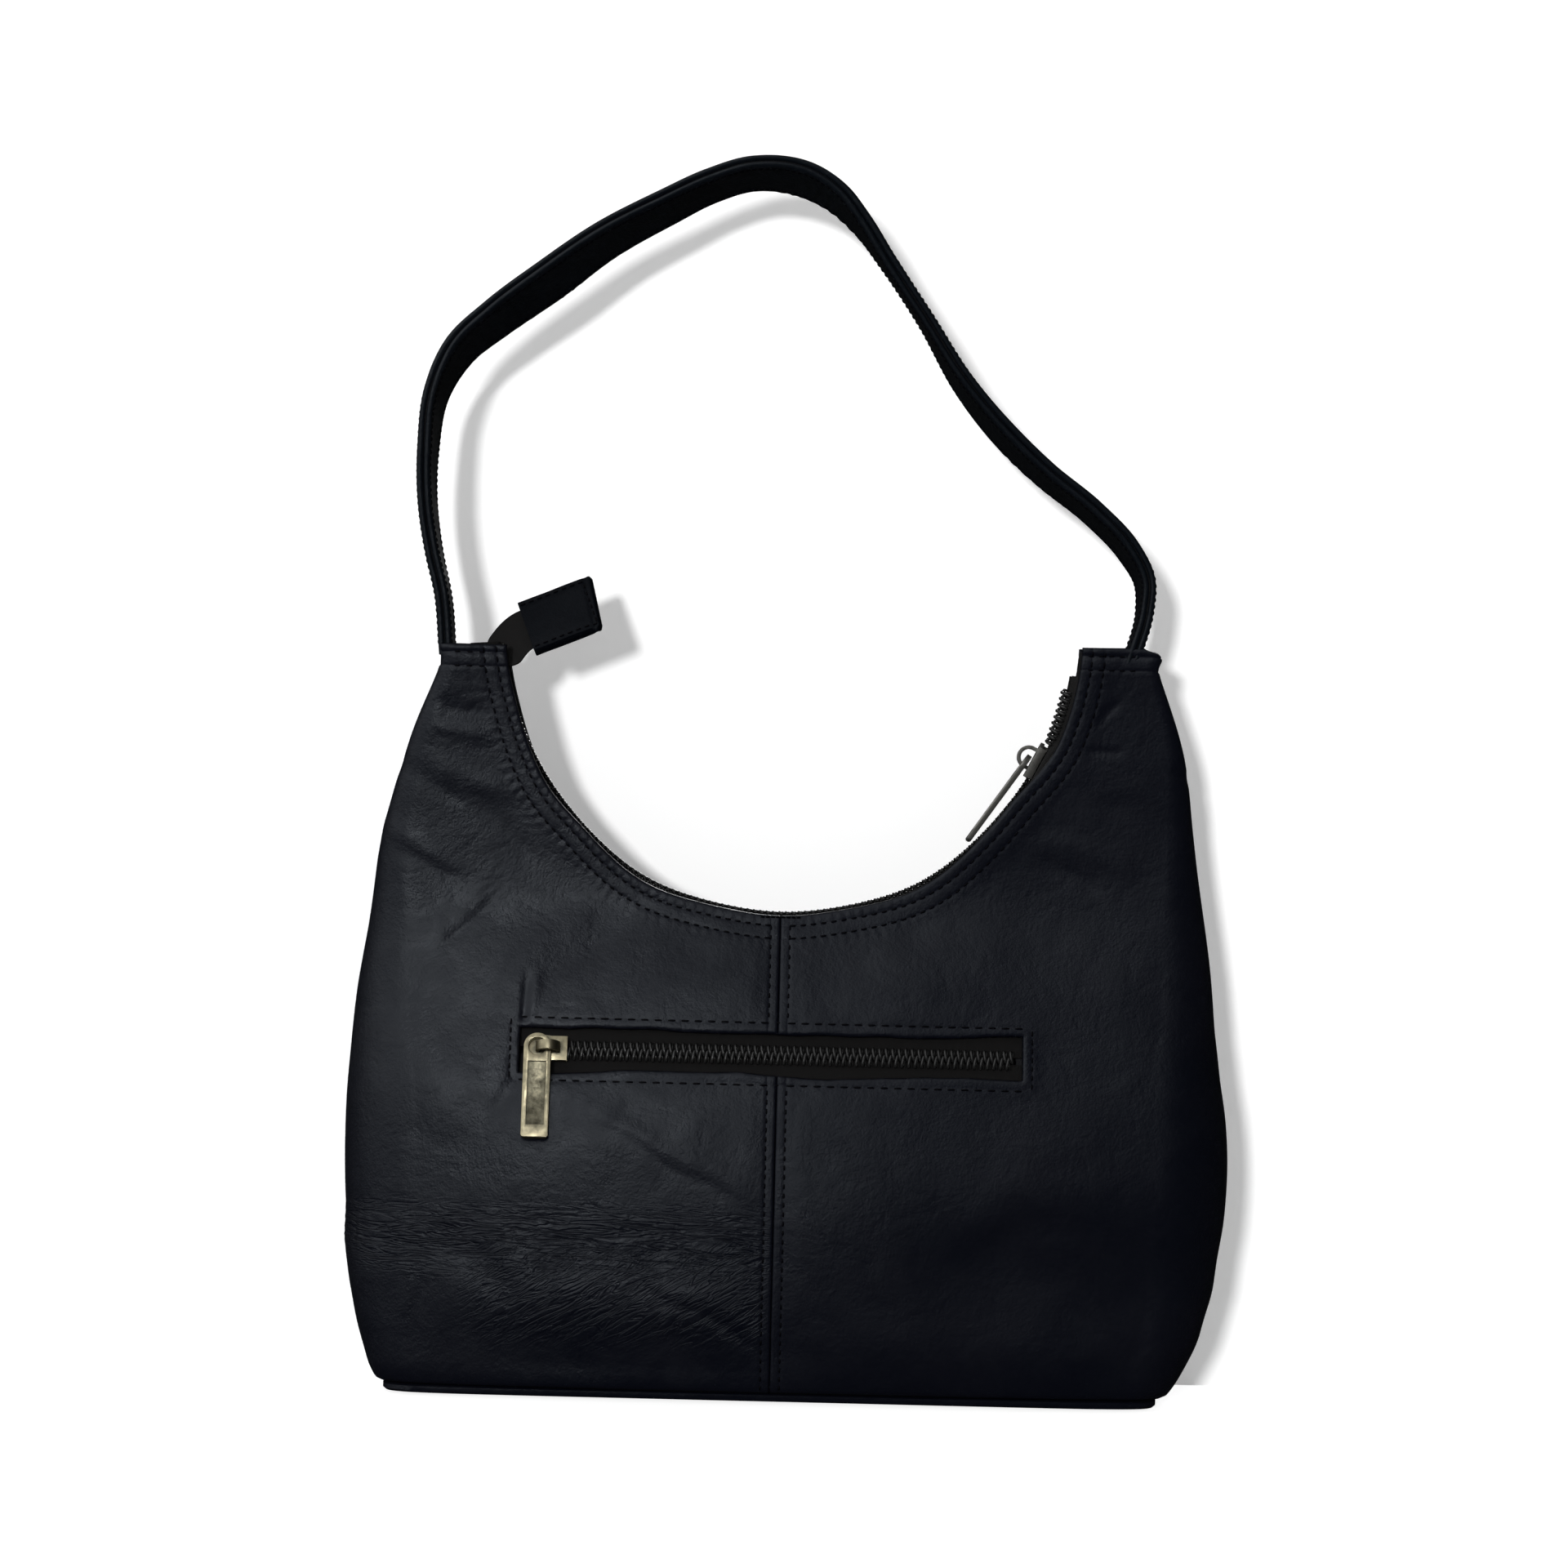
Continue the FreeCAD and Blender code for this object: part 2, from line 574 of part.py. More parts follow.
def slider_body(name, place):
    """A zip slider: two plates, the wedge between them, side rails and the crown loop.

    Local x points to the open side of the zip and local z out of the chain.
    """
    body = new_body(name)
    half_length = "Sizes.slider_length / 2"
    shoulder = "Sizes.slider_width / 2"
    nose = "Sizes.slider_width / 2 - 1.7"
    plate_side = [(f"-({half_length})", SLIDER_REAR), ("-1", SLIDER_REAR), ("2", shoulder),
                  (f"{half_length} - 1.6", shoulder), (half_length, nose)]
    plate = mirrored_corners(plate_side)
    lower_sketch = new_sketch(body, f"{name}_lower_outline",
                              level="-(Sizes.slider_gap / 2 + Sizes.slider_plate)")
    sketch_corners(lower_sketch, plate)
    pad(body, lower_sketch, f"{name}_lower_plate", "Sizes.slider_plate")

    wedge_sketch = new_sketch(body, f"{name}_wedge_outline",
                              level="-(Sizes.slider_gap / 2 + 0.1)")
    wedge = [(f"{half_length} - 5.2", "0.05"), (f"{half_length} - 2.6", "Sizes.wedge_half_width"),
             (f"{half_length} - 0.6", "Sizes.wedge_half_width - 0.3")]
    sketch_corners(wedge_sketch, mirrored_corners(wedge))
    pad(body, wedge_sketch, f"{name}_wedge", "Sizes.slider_gap + 0.2")

    upper_sketch = new_sketch(body, f"{name}_upper_outline", level="Sizes.slider_gap / 2")
    sketch_corners(upper_sketch, plate)
    pad(body, upper_sketch, f"{name}_upper_plate", "Sizes.slider_plate")

    rail = [(f"-({half_length})", f"{SLIDER_REAR} - Sizes.slider_rail"),
            ("-1", f"{SLIDER_REAR} - Sizes.slider_rail"),
            ("2", f"{shoulder} - Sizes.slider_rail"),
            (f"{half_length} - 1.6", f"{shoulder} - Sizes.slider_rail"),
            (f"{half_length} - 1.6", shoulder), ("2", shoulder), ("-1", SLIDER_REAR),
            (f"-({half_length})", SLIDER_REAR)]
    for side, sign in (("near", ""), ("far", "-")):
        rail_sketch = new_sketch(body, f"{name}_{side}_rail_outline")
        sketch_corners(rail_sketch, [(across, f"{sign}({along})") for across, along in rail])
        pad(body, rail_sketch, f"{name}_{side}_rail", "Sizes.slider_gap / 2 + 0.1")

    plate_top = "Sizes.slider_gap / 2 + Sizes.slider_plate"
    post_sketch = new_sketch(body, f"{name}_post_outline", level=f"{plate_top} - 0.2")
    half_crown = "Sizes.crown_width / 2"
    for sign in ("-", ""):
        inside = f"{sign}(Sizes.crown_inside)"
        outside = f"{sign}(Sizes.crown_inside + Sizes.crown_bar)"
        sketch_corners(post_sketch, [(inside, f"-({half_crown})"), (outside, f"-({half_crown})"),
                                     (outside, half_crown), (inside, half_crown)])
    pad(body, post_sketch, f"{name}_posts", "Sizes.crown_lift + 0.2")

    arch_sketch = new_sketch(body, f"{name}_arch_section",
                             level=f"{plate_top} + Sizes.crown_lift")
    sketch_corners(arch_sketch, [
        ("Sizes.crown_inside", f"-({half_crown})"),
        ("Sizes.crown_inside + Sizes.crown_bar", f"-({half_crown})"),
        ("Sizes.crown_inside + Sizes.crown_bar", half_crown),
        ("Sizes.crown_inside", half_crown)])
    document.recompute()
    arch = body.newObject("PartDesign::Revolution", f"{name}_arch")
    arch.Profile = arch_sketch
    arch.ReferenceAxis = (arch_sketch, ["V_Axis"])
    arch.Angle = 180
    arch.Reversed = True
    arch_sketch.Visibility = False
    body.Placement = place
    return body


def pull_tab(name, place):
    """A flat pull with a round eye, a raised border and a chamfered tip.

    Its eye's rim is centred on the origin and it points along local x.
    """
    body = new_body(name)
    rim_centre = "(Sizes.pull_width - Sizes.pull_eye) / 4"
    eye = f"{rim_centre} + Sizes.pull_eye / 2"
    low = "-(Sizes.pull_thickness / 2)"
    half = "Sizes.pull_width / 2"
    tip = f"Sizes.pull_length - {rim_centre}"

    head_sketch = new_sketch(body, f"{name}_head_outline", level=low)
    sketch_circle(head_sketch, eye, "0", half)
    pad(body, head_sketch, f"{name}_head", "Sizes.pull_thickness")

    stem_sketch = new_sketch(body, f"{name}_stem_outline", level=low)
    stem = [(eye, f"{half} - 0.01"), (f"{tip} - 1", f"{half} - 0.01"), (tip, f"{half} - 1")]
    sketch_corners(stem_sketch, mirrored_corners(stem))
    pad(body, stem_sketch, f"{name}_stem", "Sizes.pull_thickness")

    document.recompute()
    eye_sketch = new_sketch(body, f"{name}_eye_outline", level=low)
    sketch_circle(eye_sketch, eye, "0", "Sizes.pull_eye / 2")
    hole = body.newObject("PartDesign::Pocket", f"{name}_eye")
    hole.Profile = eye_sketch
    hole.Type = "ThroughAll"
    hole.Midplane = True

    panel_start = f"{eye} + {half} + 0.6"
    panel = mirrored_corners([(panel_start, f"{half} - Sizes.pull_rim"),
                              (f"{tip} - Sizes.pull_rim - 3", f"{half} - Sizes.pull_rim")])
    for side, level, reverse in (("upper", "Sizes.pull_thickness / 2", False),
                                 ("lower", low, True)):
        recess_sketch = new_sketch(body, f"{name}_{side}_recess_outline", level=level)
        sketch_corners(recess_sketch, panel)
        recess = body.newObject("PartDesign::Pocket", f"{name}_{side}_recess")
        recess.Profile = recess_sketch
        recess.setExpression("Length", "Sizes.pull_recess")
        recess.Reversed = reverse
        recess_sketch.Visibility = False
    document.recompute()

    tip_edges = [f"Edge{number}" for number, edge in enumerate(body.Shape.Edges, start=1)
                 if edge.BoundBox.XMin > body.Shape.BoundBox.XMax - 0.01
                 and edge.BoundBox.YLength > 1]
    uncut = body.Tip
    bevel = body.newObject("PartDesign::Chamfer", f"{name}_worn_tip")
    bevel.Base = (uncut, tip_edges)
    bevel.setExpression("Size", "Sizes.pull_tip_chamfer")
    body.Placement = place
    return body


def main_chain_place(angle):
    """Chain frame on the main zip: x along the chain to the right ear, z to the mouth's centre."""
    turn = FreeCAD.Rotation(Y_AXIS, -angle)
    centre = mouth_centre + turn.multVec(Vector(0, 0, -main_chain_radius))
    return FreeCAD.Placement(centre, turn)


def pull_rest_angle():
    """How far the main pull is lifted off the chain's tangent when its tip lies on the chain."""
    reach = size.pull_length - (size.pull_width - size.pull_eye) / 4
    half = size.pull_thickness / 2
    pivot_radius = main_chain_radius - crown_centre_height
    floor_radius = main_chain_radius - coil_levels()[1] - size.pull_rest_gap
    along = reach ** 2 + half ** 2 + pivot_radius ** 2 - floor_radius ** 2
    span = math.hypot(reach, half)
    return math.degrees(math.asin(along / (2 * pivot_radius * span)) + math.atan2(half, reach))


def make_sliders():
    main_place = main_chain_place(main_slider_angle())
    slider_body("main_slider_body", main_place)
    lifted = FreeCAD.Placement(Vector(0, 0, crown_centre_height),
                               FreeCAD.Rotation(Y_AXIS, 180 + pull_rest_angle()))
    pull_tab("main_pull_tab", main_place.multiply(lifted))

    towards_left = FreeCAD.Placement(Vector(pocket_slider_x, 0, 0),
                                     FreeCAD.Rotation(Z_AXIS, 180))
    pocket_slider_place = pocket_place.multiply(towards_left)
    slider_body("pocket_slider_body", pocket_slider_place)
    rim_centre = (size.pull_width - size.pull_eye) / 4
    post_centre = size.crown_inside + size.crown_bar / 2
    eye_centre = rim_centre + size.pull_eye / 2
    # The post nearer the window's end stands in the pull's eye, and the pull hangs down.
    hanging = FreeCAD.Placement(
        Vector(pocket_slider_x - post_centre, eye_centre, crown_centre_height),
        FreeCAD.Rotation(Z_AXIS, -90))
    pull_tab("pocket_pull_tab", pocket_place.multiply(hanging))


# ---------------------------------------------------------------- strap

# Points of the strap's route from the left ear to the right ear, chosen by hand.
# Left points are measured from the left foot and right points from the right foot:
# sideways, up, and how far the strap is turned about its own length.
STRAP_LEFT = [
    (0.0, 0.4, 0), (-1.2, 11.5, 0), (-4.0, 25.0, 0), (-6.6, 40.0, 0), (-7.6, 58.0, 4),
    (-5.4, 76.0, 10), (1.0, 91.0, 22), (11.5, 103.0, 33), (28.0, 115.0, 38), (48.0, 127.5, 36),
    (66.0, 137.5, 31), (81.0, 144.6, 28), (94.0, 149.6, 27),
]
STRAP_RIGHT = [
    (-104.5, 149.2, 26), (-95.0, 142.6, 25), (-88.0, 134.5, 22), (-78.5, 121.0, 16),
    (-66.5, 102.5, 10), (-52.5, 84.5, 10), (-39.5, 70.5, 16), (-25.0, 58.0, 21),
    (-10.0, 44.5, 22), (0.5, 31.0, 12), (2.6, 21.0, 3), (1.2, 11.5, 0), (0.0, 0.4, 0),
]
STRAP_STATIONS = 44
FOOT_STEPS = (0.97, 0.84, 0.55, 0.27)
SMALLEST_REACH = 0.5


def strap_centre_line():
    """A smooth curve whose y coordinate carries the strap's turn in degrees."""
    left = [Vector(-size.strap_foot_x + across, turn, size.ear_top + up)
            for across, up, turn in STRAP_LEFT]
    right = [Vector(size.strap_foot_x + across, turn, size.ear_top + up)
             for across, up, turn in STRAP_RIGHT]
    curve = Part.BSplineCurve()
    curve.interpolate(left + right)
    return curve


def strap_stations():
    """Centre, width direction, outward direction and half width along the strap."""
    curve = strap_centre_line()
    hinge_height = size.ear_top + size.strap_hinge_rise
    first, last = curve.FirstParameter, curve.LastParameter
    half = size.strap_width / 2

    def parameter_at_height(height, low, high):
        for _ in range(40):
            middle = (low + high) / 2
            rising = curve.value(high).z > curve.value(low).z
            if (curve.value(middle).z < height) == rising:
                low = middle
            else:
                high = middle
        return (low + high) / 2

    quarter = (last - first) / 8
    foot_radius = size.strap_hinge_rise - size.strap_foot_gap
    left_foot = [parameter_at_height(hinge_height - share * foot_radius, first, first + quarter)
                 for share in (*FOOT_STEPS, 0)]
    right_foot = [parameter_at_height(hinge_height - share * foot_radius, last - quarter, last)
                  for share in (0, *reversed(FOOT_STEPS))]
    start, end = left_foot[-1], right_foot[0]
    middle = [start + (end - start) * number / STRAP_STATIONS
              for number in range(1, STRAP_STATIONS)]

    stations = []
    for parameter in left_foot + middle + right_foot:
        point = curve.value(parameter)
        slope = curve.tangent(parameter)[0]
        along = Vector(slope.x, 0, slope.z).normalize()
        outward = Vector(-along.z, 0, along.x)
        turn = math.radians(max(point.y, 0))
        across = Y_AXIS * math.cos(turn) - outward * math.sin(turn)
        normal = outward * math.cos(turn) + Y_AXIS * math.sin(turn)
        below = max(hinge_height - point.z, 0)
        reach = math.sqrt(max(min(half, foot_radius) ** 2 - below ** 2, 0)) if below else half
        stations.append((Vector(point.x, 0, point.z), across, normal, reach))
    return stations


def strap_layer(low, high, inset):
    """A flat strip that follows the strap between two heights from its middle."""
    rings = []
    for centre, across, normal, reach in strap_stations():
        side = reach - inset
        if side > SMALLEST_REACH:
            rings.append([centre + across * place + normal * level
                          for place, level in ((-side, low), (side, low),
                                               (side, high), (-side, high))])
    return flat_faced_loft(rings)


strap_half_core = size.strap_core / 2
strap_strip_start = strap_half_core + size.strap_layer_gap
strap_half_thickness = strap_strip_start + size.strap_strip


def make_strap():
    feature("strap_outer_strip", strap_layer(strap_strip_start, strap_half_thickness, 0))
    feature("strap_inner_strip", strap_layer(-strap_half_thickness, -strap_strip_start, 0))
    feature("strap_core", strap_layer(-strap_half_core, strap_half_core, size.strap_core_inset))


def make_strap_tails():
    """The strap's ends inside the ears."""
    for name, sign in (("left", -1), ("right", 1)):
        tail = document.addObject("Part::Box", f"strap_tail_{name}")
        tail.setExpression("Length", "2 * (Sizes.strap_core / 2 + Sizes.strap_layer_gap"
                                     " + Sizes.strap_strip)")
        tail.setExpression("Width", "Sizes.strap_tail_width")
        tail.setExpression("Height", "Sizes.strap_tail_length")
        corner_x = sign * (size.strap_foot_x - 1.6) - strap_half_thickness
        tail.Placement = FreeCAD.Placement(
            Vector(corner_x, -size.strap_tail_width / 2, size.ear_top - size.strap_tail_length),
            FreeCAD.Rotation())
        keep(tail, f"strap_tail_{name}")


# ---------------------------------------------------------------- zip tail

TAIL_STATIONS = 6


def tail_start():
    """The point where the zip's tail leaves the left ear."""
    radius = main_chain_radius + size.tape_drop - size.tape_thickness / 2
    height = size.ear_top + size.zip_tail_rise
    drop = size.mouth_centre_height - height
    return Vector(-math.sqrt(radius ** 2 - drop ** 2), 0, height)


def tab_place():
    """The tab's near end: x along the tab, y across it, z out of its upper face."""
    start = tail_start()
    near = Vector(start.x + size.tail_tab_reach, 0, size.ear_top + size.tail_tab_rise)
    slope = FreeCAD.Rotation(Y_AXIS, -size.tail_tab_slope)
    twist = FreeCAD.Rotation(X_AXIS, size.tail_tab_twist)
    return FreeCAD.Placement(near, slope.multiply(twist))


def tail_band(half_width, low, high, stop_share):
    """A band that leaves the ear upwards, bends over to the right and twists into the tab."""
    start = tail_start()
    place = tab_place()
    end = place.multVec(Vector(size.tail_tab_pocket - 1, 0, 0))
    near = place.Base
    curve = Part.BezierCurve()
    curve.setPoles([start, start + Vector(0, 0, size.tail_upright),
                    near - (end - near).normalize() * size.tail_upright, near])
    rings = []
    for number in range(TAIL_STATIONS + 1):
        share = stop_share * number / TAIL_STATIONS
        point = curve.value(share)
        slope = curve.tangent(share)[0]
        along = Vector(slope.x, 0, slope.z).normalize()
        outward = Vector(-along.z, 0, along.x)
        turn = math.radians(size.tail_tab_twist * share ** 2)
        across = Y_AXIS * math.cos(turn) + outward * math.sin(turn)
        normal = outward * math.cos(turn) - Y_AXIS * math.sin(turn)
        rings.append([point + across * side + normal * level
                      for side, level in ((-half_width, low), (half_width, low),
                                          (half_width, high), (-half_width, high))])
    if stop_share == 1:
        rings.append([corner + end - near for corner in rings[-1]])
    return flat_faced_loft(rings)


def make_zip_tail():
    half_tape = size.tape_thickness / 2
    feature("zip_tail_tape", tail_band(size.tail_tape_width / 2, -half_tape, half_tape, 1))
    coil_end = -half_tape - size.tail_coil_gap
    feature("zip_tail_coil",
            tail_band(size.chain_width / 2, coil_end - size.coil_height, coil_end, 0.8))
    half = size.tail_tab_width / 2
    thick = size.tail_tab_thickness / 2
    block = box_between((0, -half, -thick), (size.tail_tab_length, half, thick))
    rounded = [edge for edge in block.Edges
               if edge.BoundBox.XMin > size.tail_tab_length - 0.01 and edge.BoundBox.ZLength > 1]
    block = block.makeFillet(2.0, rounded)
    slot_half = size.tail_tape_width / 2 + 0.5
    slot = box_between((-1, -slot_half, -half_tape - 0.2),
                       (size.tail_tab_pocket, slot_half, half_tape + 0.2))
    feature("zip_tail_tab", block.cut(slot), tab_place())


# ---------------------------------------------------------------- build and write

make_leather()
make_facings()
make_lining()
make_pocket_bag()
make_strap_tails()
make_main_zip()
make_pocket_zip()
make_sliders()
make_strap()
make_zip_tail()
document.recompute()

for item in document.Objects:
    if "Invalid" in item.State or "Error" in item.State:
        raise RuntimeError(f"{item.Label} did not compute: {item.State}")
for item in finished:
    if item.Shape.isNull() or not item.Shape.isValid() or not item.Shape.Solids:
        raise RuntimeError(f"{item.Label} has no valid solid")
for item in finished:
    item.Shape.exportStep(f"parts/{item.Label}.step")
    print(f"{item.Label}: {len(item.Shape.Solids)} solid, {item.Shape.Volume:.0f} mm3")
print("pocket hinge", pocket_zip_centre, "tilt", window_tilt)
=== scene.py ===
import json
import math
import bpy
import numpy as np
from mathutils import Matrix, Quaternion, Vector
from mathutils.bvhtree import BVHTree

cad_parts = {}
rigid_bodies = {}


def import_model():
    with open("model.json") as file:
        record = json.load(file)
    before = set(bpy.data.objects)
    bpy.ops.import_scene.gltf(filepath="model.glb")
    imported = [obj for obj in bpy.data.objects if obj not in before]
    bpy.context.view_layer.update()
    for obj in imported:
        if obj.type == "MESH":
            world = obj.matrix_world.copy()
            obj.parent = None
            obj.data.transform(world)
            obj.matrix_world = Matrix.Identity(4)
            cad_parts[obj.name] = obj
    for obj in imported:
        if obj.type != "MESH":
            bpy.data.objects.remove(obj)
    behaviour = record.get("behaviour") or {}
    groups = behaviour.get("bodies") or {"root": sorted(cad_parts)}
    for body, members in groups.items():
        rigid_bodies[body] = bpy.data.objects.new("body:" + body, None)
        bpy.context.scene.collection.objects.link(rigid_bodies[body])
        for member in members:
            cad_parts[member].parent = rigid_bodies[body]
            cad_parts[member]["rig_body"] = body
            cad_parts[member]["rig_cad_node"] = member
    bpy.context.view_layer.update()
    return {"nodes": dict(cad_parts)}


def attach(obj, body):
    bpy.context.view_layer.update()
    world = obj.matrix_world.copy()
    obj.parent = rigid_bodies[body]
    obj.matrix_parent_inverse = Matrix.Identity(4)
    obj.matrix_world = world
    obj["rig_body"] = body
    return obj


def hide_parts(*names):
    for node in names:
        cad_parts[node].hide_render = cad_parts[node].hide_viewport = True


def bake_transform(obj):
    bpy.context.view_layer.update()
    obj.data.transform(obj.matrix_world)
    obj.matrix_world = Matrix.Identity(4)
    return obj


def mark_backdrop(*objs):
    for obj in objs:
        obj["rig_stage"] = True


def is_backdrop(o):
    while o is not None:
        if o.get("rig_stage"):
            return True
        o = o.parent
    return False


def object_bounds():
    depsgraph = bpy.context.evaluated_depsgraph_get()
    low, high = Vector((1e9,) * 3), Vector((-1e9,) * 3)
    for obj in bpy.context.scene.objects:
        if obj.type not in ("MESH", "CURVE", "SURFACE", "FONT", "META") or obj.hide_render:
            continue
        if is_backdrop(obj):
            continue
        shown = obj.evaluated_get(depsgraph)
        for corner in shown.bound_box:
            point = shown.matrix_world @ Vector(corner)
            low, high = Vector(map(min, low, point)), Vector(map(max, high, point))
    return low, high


# A black leather hobo bag with a curved zipped mouth, a zipped front pocket and one
# shoulder strap.  Shapes are worked out in millimetres and made in metres.

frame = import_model()
nodes = frame["nodes"]
MM = 0.001

# ---------------------------------------------------------------- sizes

EAR_TOPS = (235.0, 238.4)
LEATHER_BOTTOM = 2.6
LEATHER_THICKNESS = 1.3
BASE_HALF = (121.6, 32.2)
MOUTH_RADIUS = 90.0
MOUTH_CENTRE = 243.0
CHAIN_RADIUS = 91.0
ZIP_PITCH = 2.05
SLIDER_ANGLE = 63.0
CHAIN_LEFT_END = -85.0
CHAIN_RIGHT_END = 80.1
WINDOW_LOW = (-80.5, 102.0)
WINDOW_HIGH = (76.5, 115.0)
POCKET_MIDDLE = (0.0, -27.117, 108.034)
POCKET_TILT = 18.097
POCKET_SLIDER = -71.7

# Height, half width, half depth in the middle, half depth near the sides, corner radius.
BODY_SECTIONS = np.array([
    (0.0, 126.0, 36.0, 34.0, 14.0),
    (26.0, 133.5, 40.0, 36.5, 20.0),
    (55.1, 138.6, 40.5, 37.5, 24.0),
    (90.3, 139.8, 34.5, 34.5, 24.0),
    (127.0, 136.8, 22.5, 22.5, 17.0),
    (153.0, 132.8, 10.0, 17.5, 13.0),
    (179.7, 128.6, 8.0, 15.0, 9.0),
    (204.6, 124.0, 6.5, 14.0, 6.0),
    (239.0, 113.0, 2.7, 14.0, 3.5),
])


# ---------------------------------------------------------------- helpers


def deselect():
    bpy.ops.object.select_all(action="DESELECT")


def only(piece):
    """Selects one piece and makes it the active one."""
    deselect()
    piece.select_set(True)
    bpy.context.view_layer.objects.active = piece
    return piece


def coordinates(piece):
    co = np.zeros(len(piece.data.vertices) * 3)
    piece.data.vertices.foreach_get("co", co)
    return co.reshape(-1, 3)


def place_vertices(piece, co):
    piece.data.vertices.foreach_set("co", np.ascontiguousarray(co).ravel())
    piece.data.update()


def normals(piece):
    out = np.zeros(len(piece.data.vertices) * 3)
    piece.data.vertex_normals.foreach_get("vector", out)
    return out.reshape(-1, 3)


def sheet_of(name, points):
    """A grid whose vertices stand at points[row][column], in millimetres."""
    rows, columns = points.shape[:2]
    deselect()
    bpy.ops.mesh.primitive_grid_add(x_subdivisions=columns - 1, y_subdivisions=rows - 1, size=1)
    piece = bpy.context.object
    piece.name = name
    place_vertices(piece, points.reshape(-1, 3) * MM)
    return piece


def tube_of(name, rings):
    """A skin round rings of points, in millimetres, closed at both ends."""
    rings = np.asarray(rings)
    piece = sheet_of(name, np.concatenate([rings, rings[:, :1]], axis=1))
    edit(piece)
    bpy.ops.mesh.remove_doubles(threshold=1e-6)
    bpy.ops.mesh.select_all(action="DESELECT")
    bpy.ops.mesh.select_non_manifold(extend=False, use_wire=False, use_multi_face=False,
                                     use_non_contiguous=False, use_verts=False)
    bpy.ops.mesh.fill_holes(sides=0)
    bpy.ops.mesh.select_all(action="SELECT")
    bpy.ops.mesh.normals_make_consistent(inside=False)
    done()
    return piece


def edit(piece):
    """Opens a piece in edit mode with all of it selected."""
    only(piece)
    bpy.ops.object.mode_set(mode="EDIT")
    bpy.ops.mesh.select_mode(type="VERT")
    bpy.ops.mesh.select_all(action="SELECT")


def done():
    bpy.ops.object.mode_set(mode="OBJECT")


def modify(piece, kind, **settings):
    """Adds a modifier and applies it."""
    only(piece)
    modifier = piece.modifiers.new(kind.lower(), kind)
    for key, value in settings.items():
        setattr(modifier, key, value)
    bpy.ops.object.modifier_apply(modifier=modifier.name)


def smooth(piece, angle=None):
    """Smooth shading, with edges sharper than the angle kept sharp."""
    only(piece)
    if angle is None:
        bpy.ops.object.shade_smooth()
    else:
        bpy.ops.object.shade_smooth_by_angle(angle=math.radians(angle))


def joined(name, pieces):
    """The pieces joined into the first one, which takes the name."""
    deselect()
    for piece in pieces:
        piece.select_set(True)
    bpy.context.view_layer.objects.active = pieces[0]
    bpy.ops.object.join()
    pieces[0].name = name
    return pieces[0]


def copies(name, pattern, places):
    """One piece made of copies of a pattern, each put at its own place."""
    made = []
    for place in places:
        twin = pattern.copy()
        twin.data = pattern.data.copy()
        twin.data.transform(place)
        bpy.context.scene.collection.objects.link(twin)
        made.append(twin)
    piece = joined(name, made)
    bpy.data.objects.remove(pattern)
    return piece


def frame_at(point, along, up):
    """A place with local x along and local z up, in metres."""
    along = Vector(along).normalized()
    up = Vector(up)
    up = (up - along * up.dot(along)).normalized()
    across = up.cross(along)
    turn = Matrix((along, across, up)).transposed().to_4x4()
    return Matrix.Translation(Vector(point)) @ turn


def dress(piece, material, slot, *stands_for):
    """Gives a piece its material and hides the CAD nodes that it stands for. The slot is not used.
    """
    piece.data.materials.clear()
    piece.data.materials.append(material)
    if stands_for:
        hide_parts(*stands_for)


def finish_piece(piece, body, material, slot, *stands_for):
    """A piece that rides on one body."""
    dress(piece, material, slot, *stands_for)
    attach(piece, body)
    return piece


def superellipse(turns, half_x, half_y, power_x, power_y):
    """Points of a rounded rectangle at the given turns, as x and y."""
    cosines, sines = np.cos(turns), np.sin(turns)
    return (np.sign(cosines) * np.abs(cosines) ** power_x * half_x,
            np.sign(sines) * np.abs(sines) ** power_y * half_y)


def smooth_through(values, knots, at):
    """Values of a smooth curve that goes through the given values at the knots."""
    slopes = np.gradient(values, knots, axis=0)
    low = np.clip(np.searchsorted(knots, at, side="right") - 1, 0, len(knots) - 2)
    gap = (knots[low + 1] - knots[low])[..., None]
    t = (at - knots[low])[..., None] / gap
    return ((2 * t ** 3 - 3 * t ** 2 + 1) * values[low]
            + (t ** 3 - 2 * t ** 2 + t) * gap * slopes[low]
            + (3 * t ** 2 - 2 * t ** 3) * values[low + 1]
            + (t ** 3 - t ** 2) * gap * slopes[low + 1])


def ease(value, low, high):
    """0 below low, 1 above high and smooth between them."""
    share = np.clip((value - low) / (high - low), 0, 1)
    return share * share * (3 - 2 * share)


def bump(value, middle, width):
    """1 in the middle, falling to 0 on both sides over about the width."""
    return np.exp(-((value - middle) / width) ** 2)


def soft_noise(x, z, scale, seed):
    """Smooth noise between -1 and 1 with cells of the given size."""
    cells = 97
    lattice = np.random.default_rng(seed).random((cells, cells)) * 2 - 1
    x, z = x / scale + 31.4, z / scale + 17.7
    x0, z0 = np.floor(x).astype(int), np.floor(z).astype(int)
    fx, fz = x - x0, z - z0
    fx, fz = fx * fx * (3 - 2 * fx), fz * fz * (3 - 2 * fz)

    def pick(i, k):
        return lattice[i % cells, k % cells]

    low = pick(x0, z0) * (1 - fx) + pick(x0 + 1, z0) * fx
    high = pick(x0, z0 + 1) * (1 - fx) + pick(x0 + 1, z0 + 1) * fx
    return low * (1 - fz) + high * fz


# ---------------------------------------------------------------- materials


def new_material(name):
    material = bpy.data.materials.new(name)
    material.use_nodes = True
    shader = material.node_tree.nodes["Principled BSDF"]
    return material, material.node_tree, shader


def node(tree, kind, **settings):
    """A new node whose inputs or properties are set by name."""
    item = tree.nodes.new(kind)
    for key, value in settings.items():
        if key in item.inputs:
            item.inputs[key].default_value = value
        else:
            setattr(item, key, value)
    return item


def link(tree, source, target):
    tree.links.new(source, target)


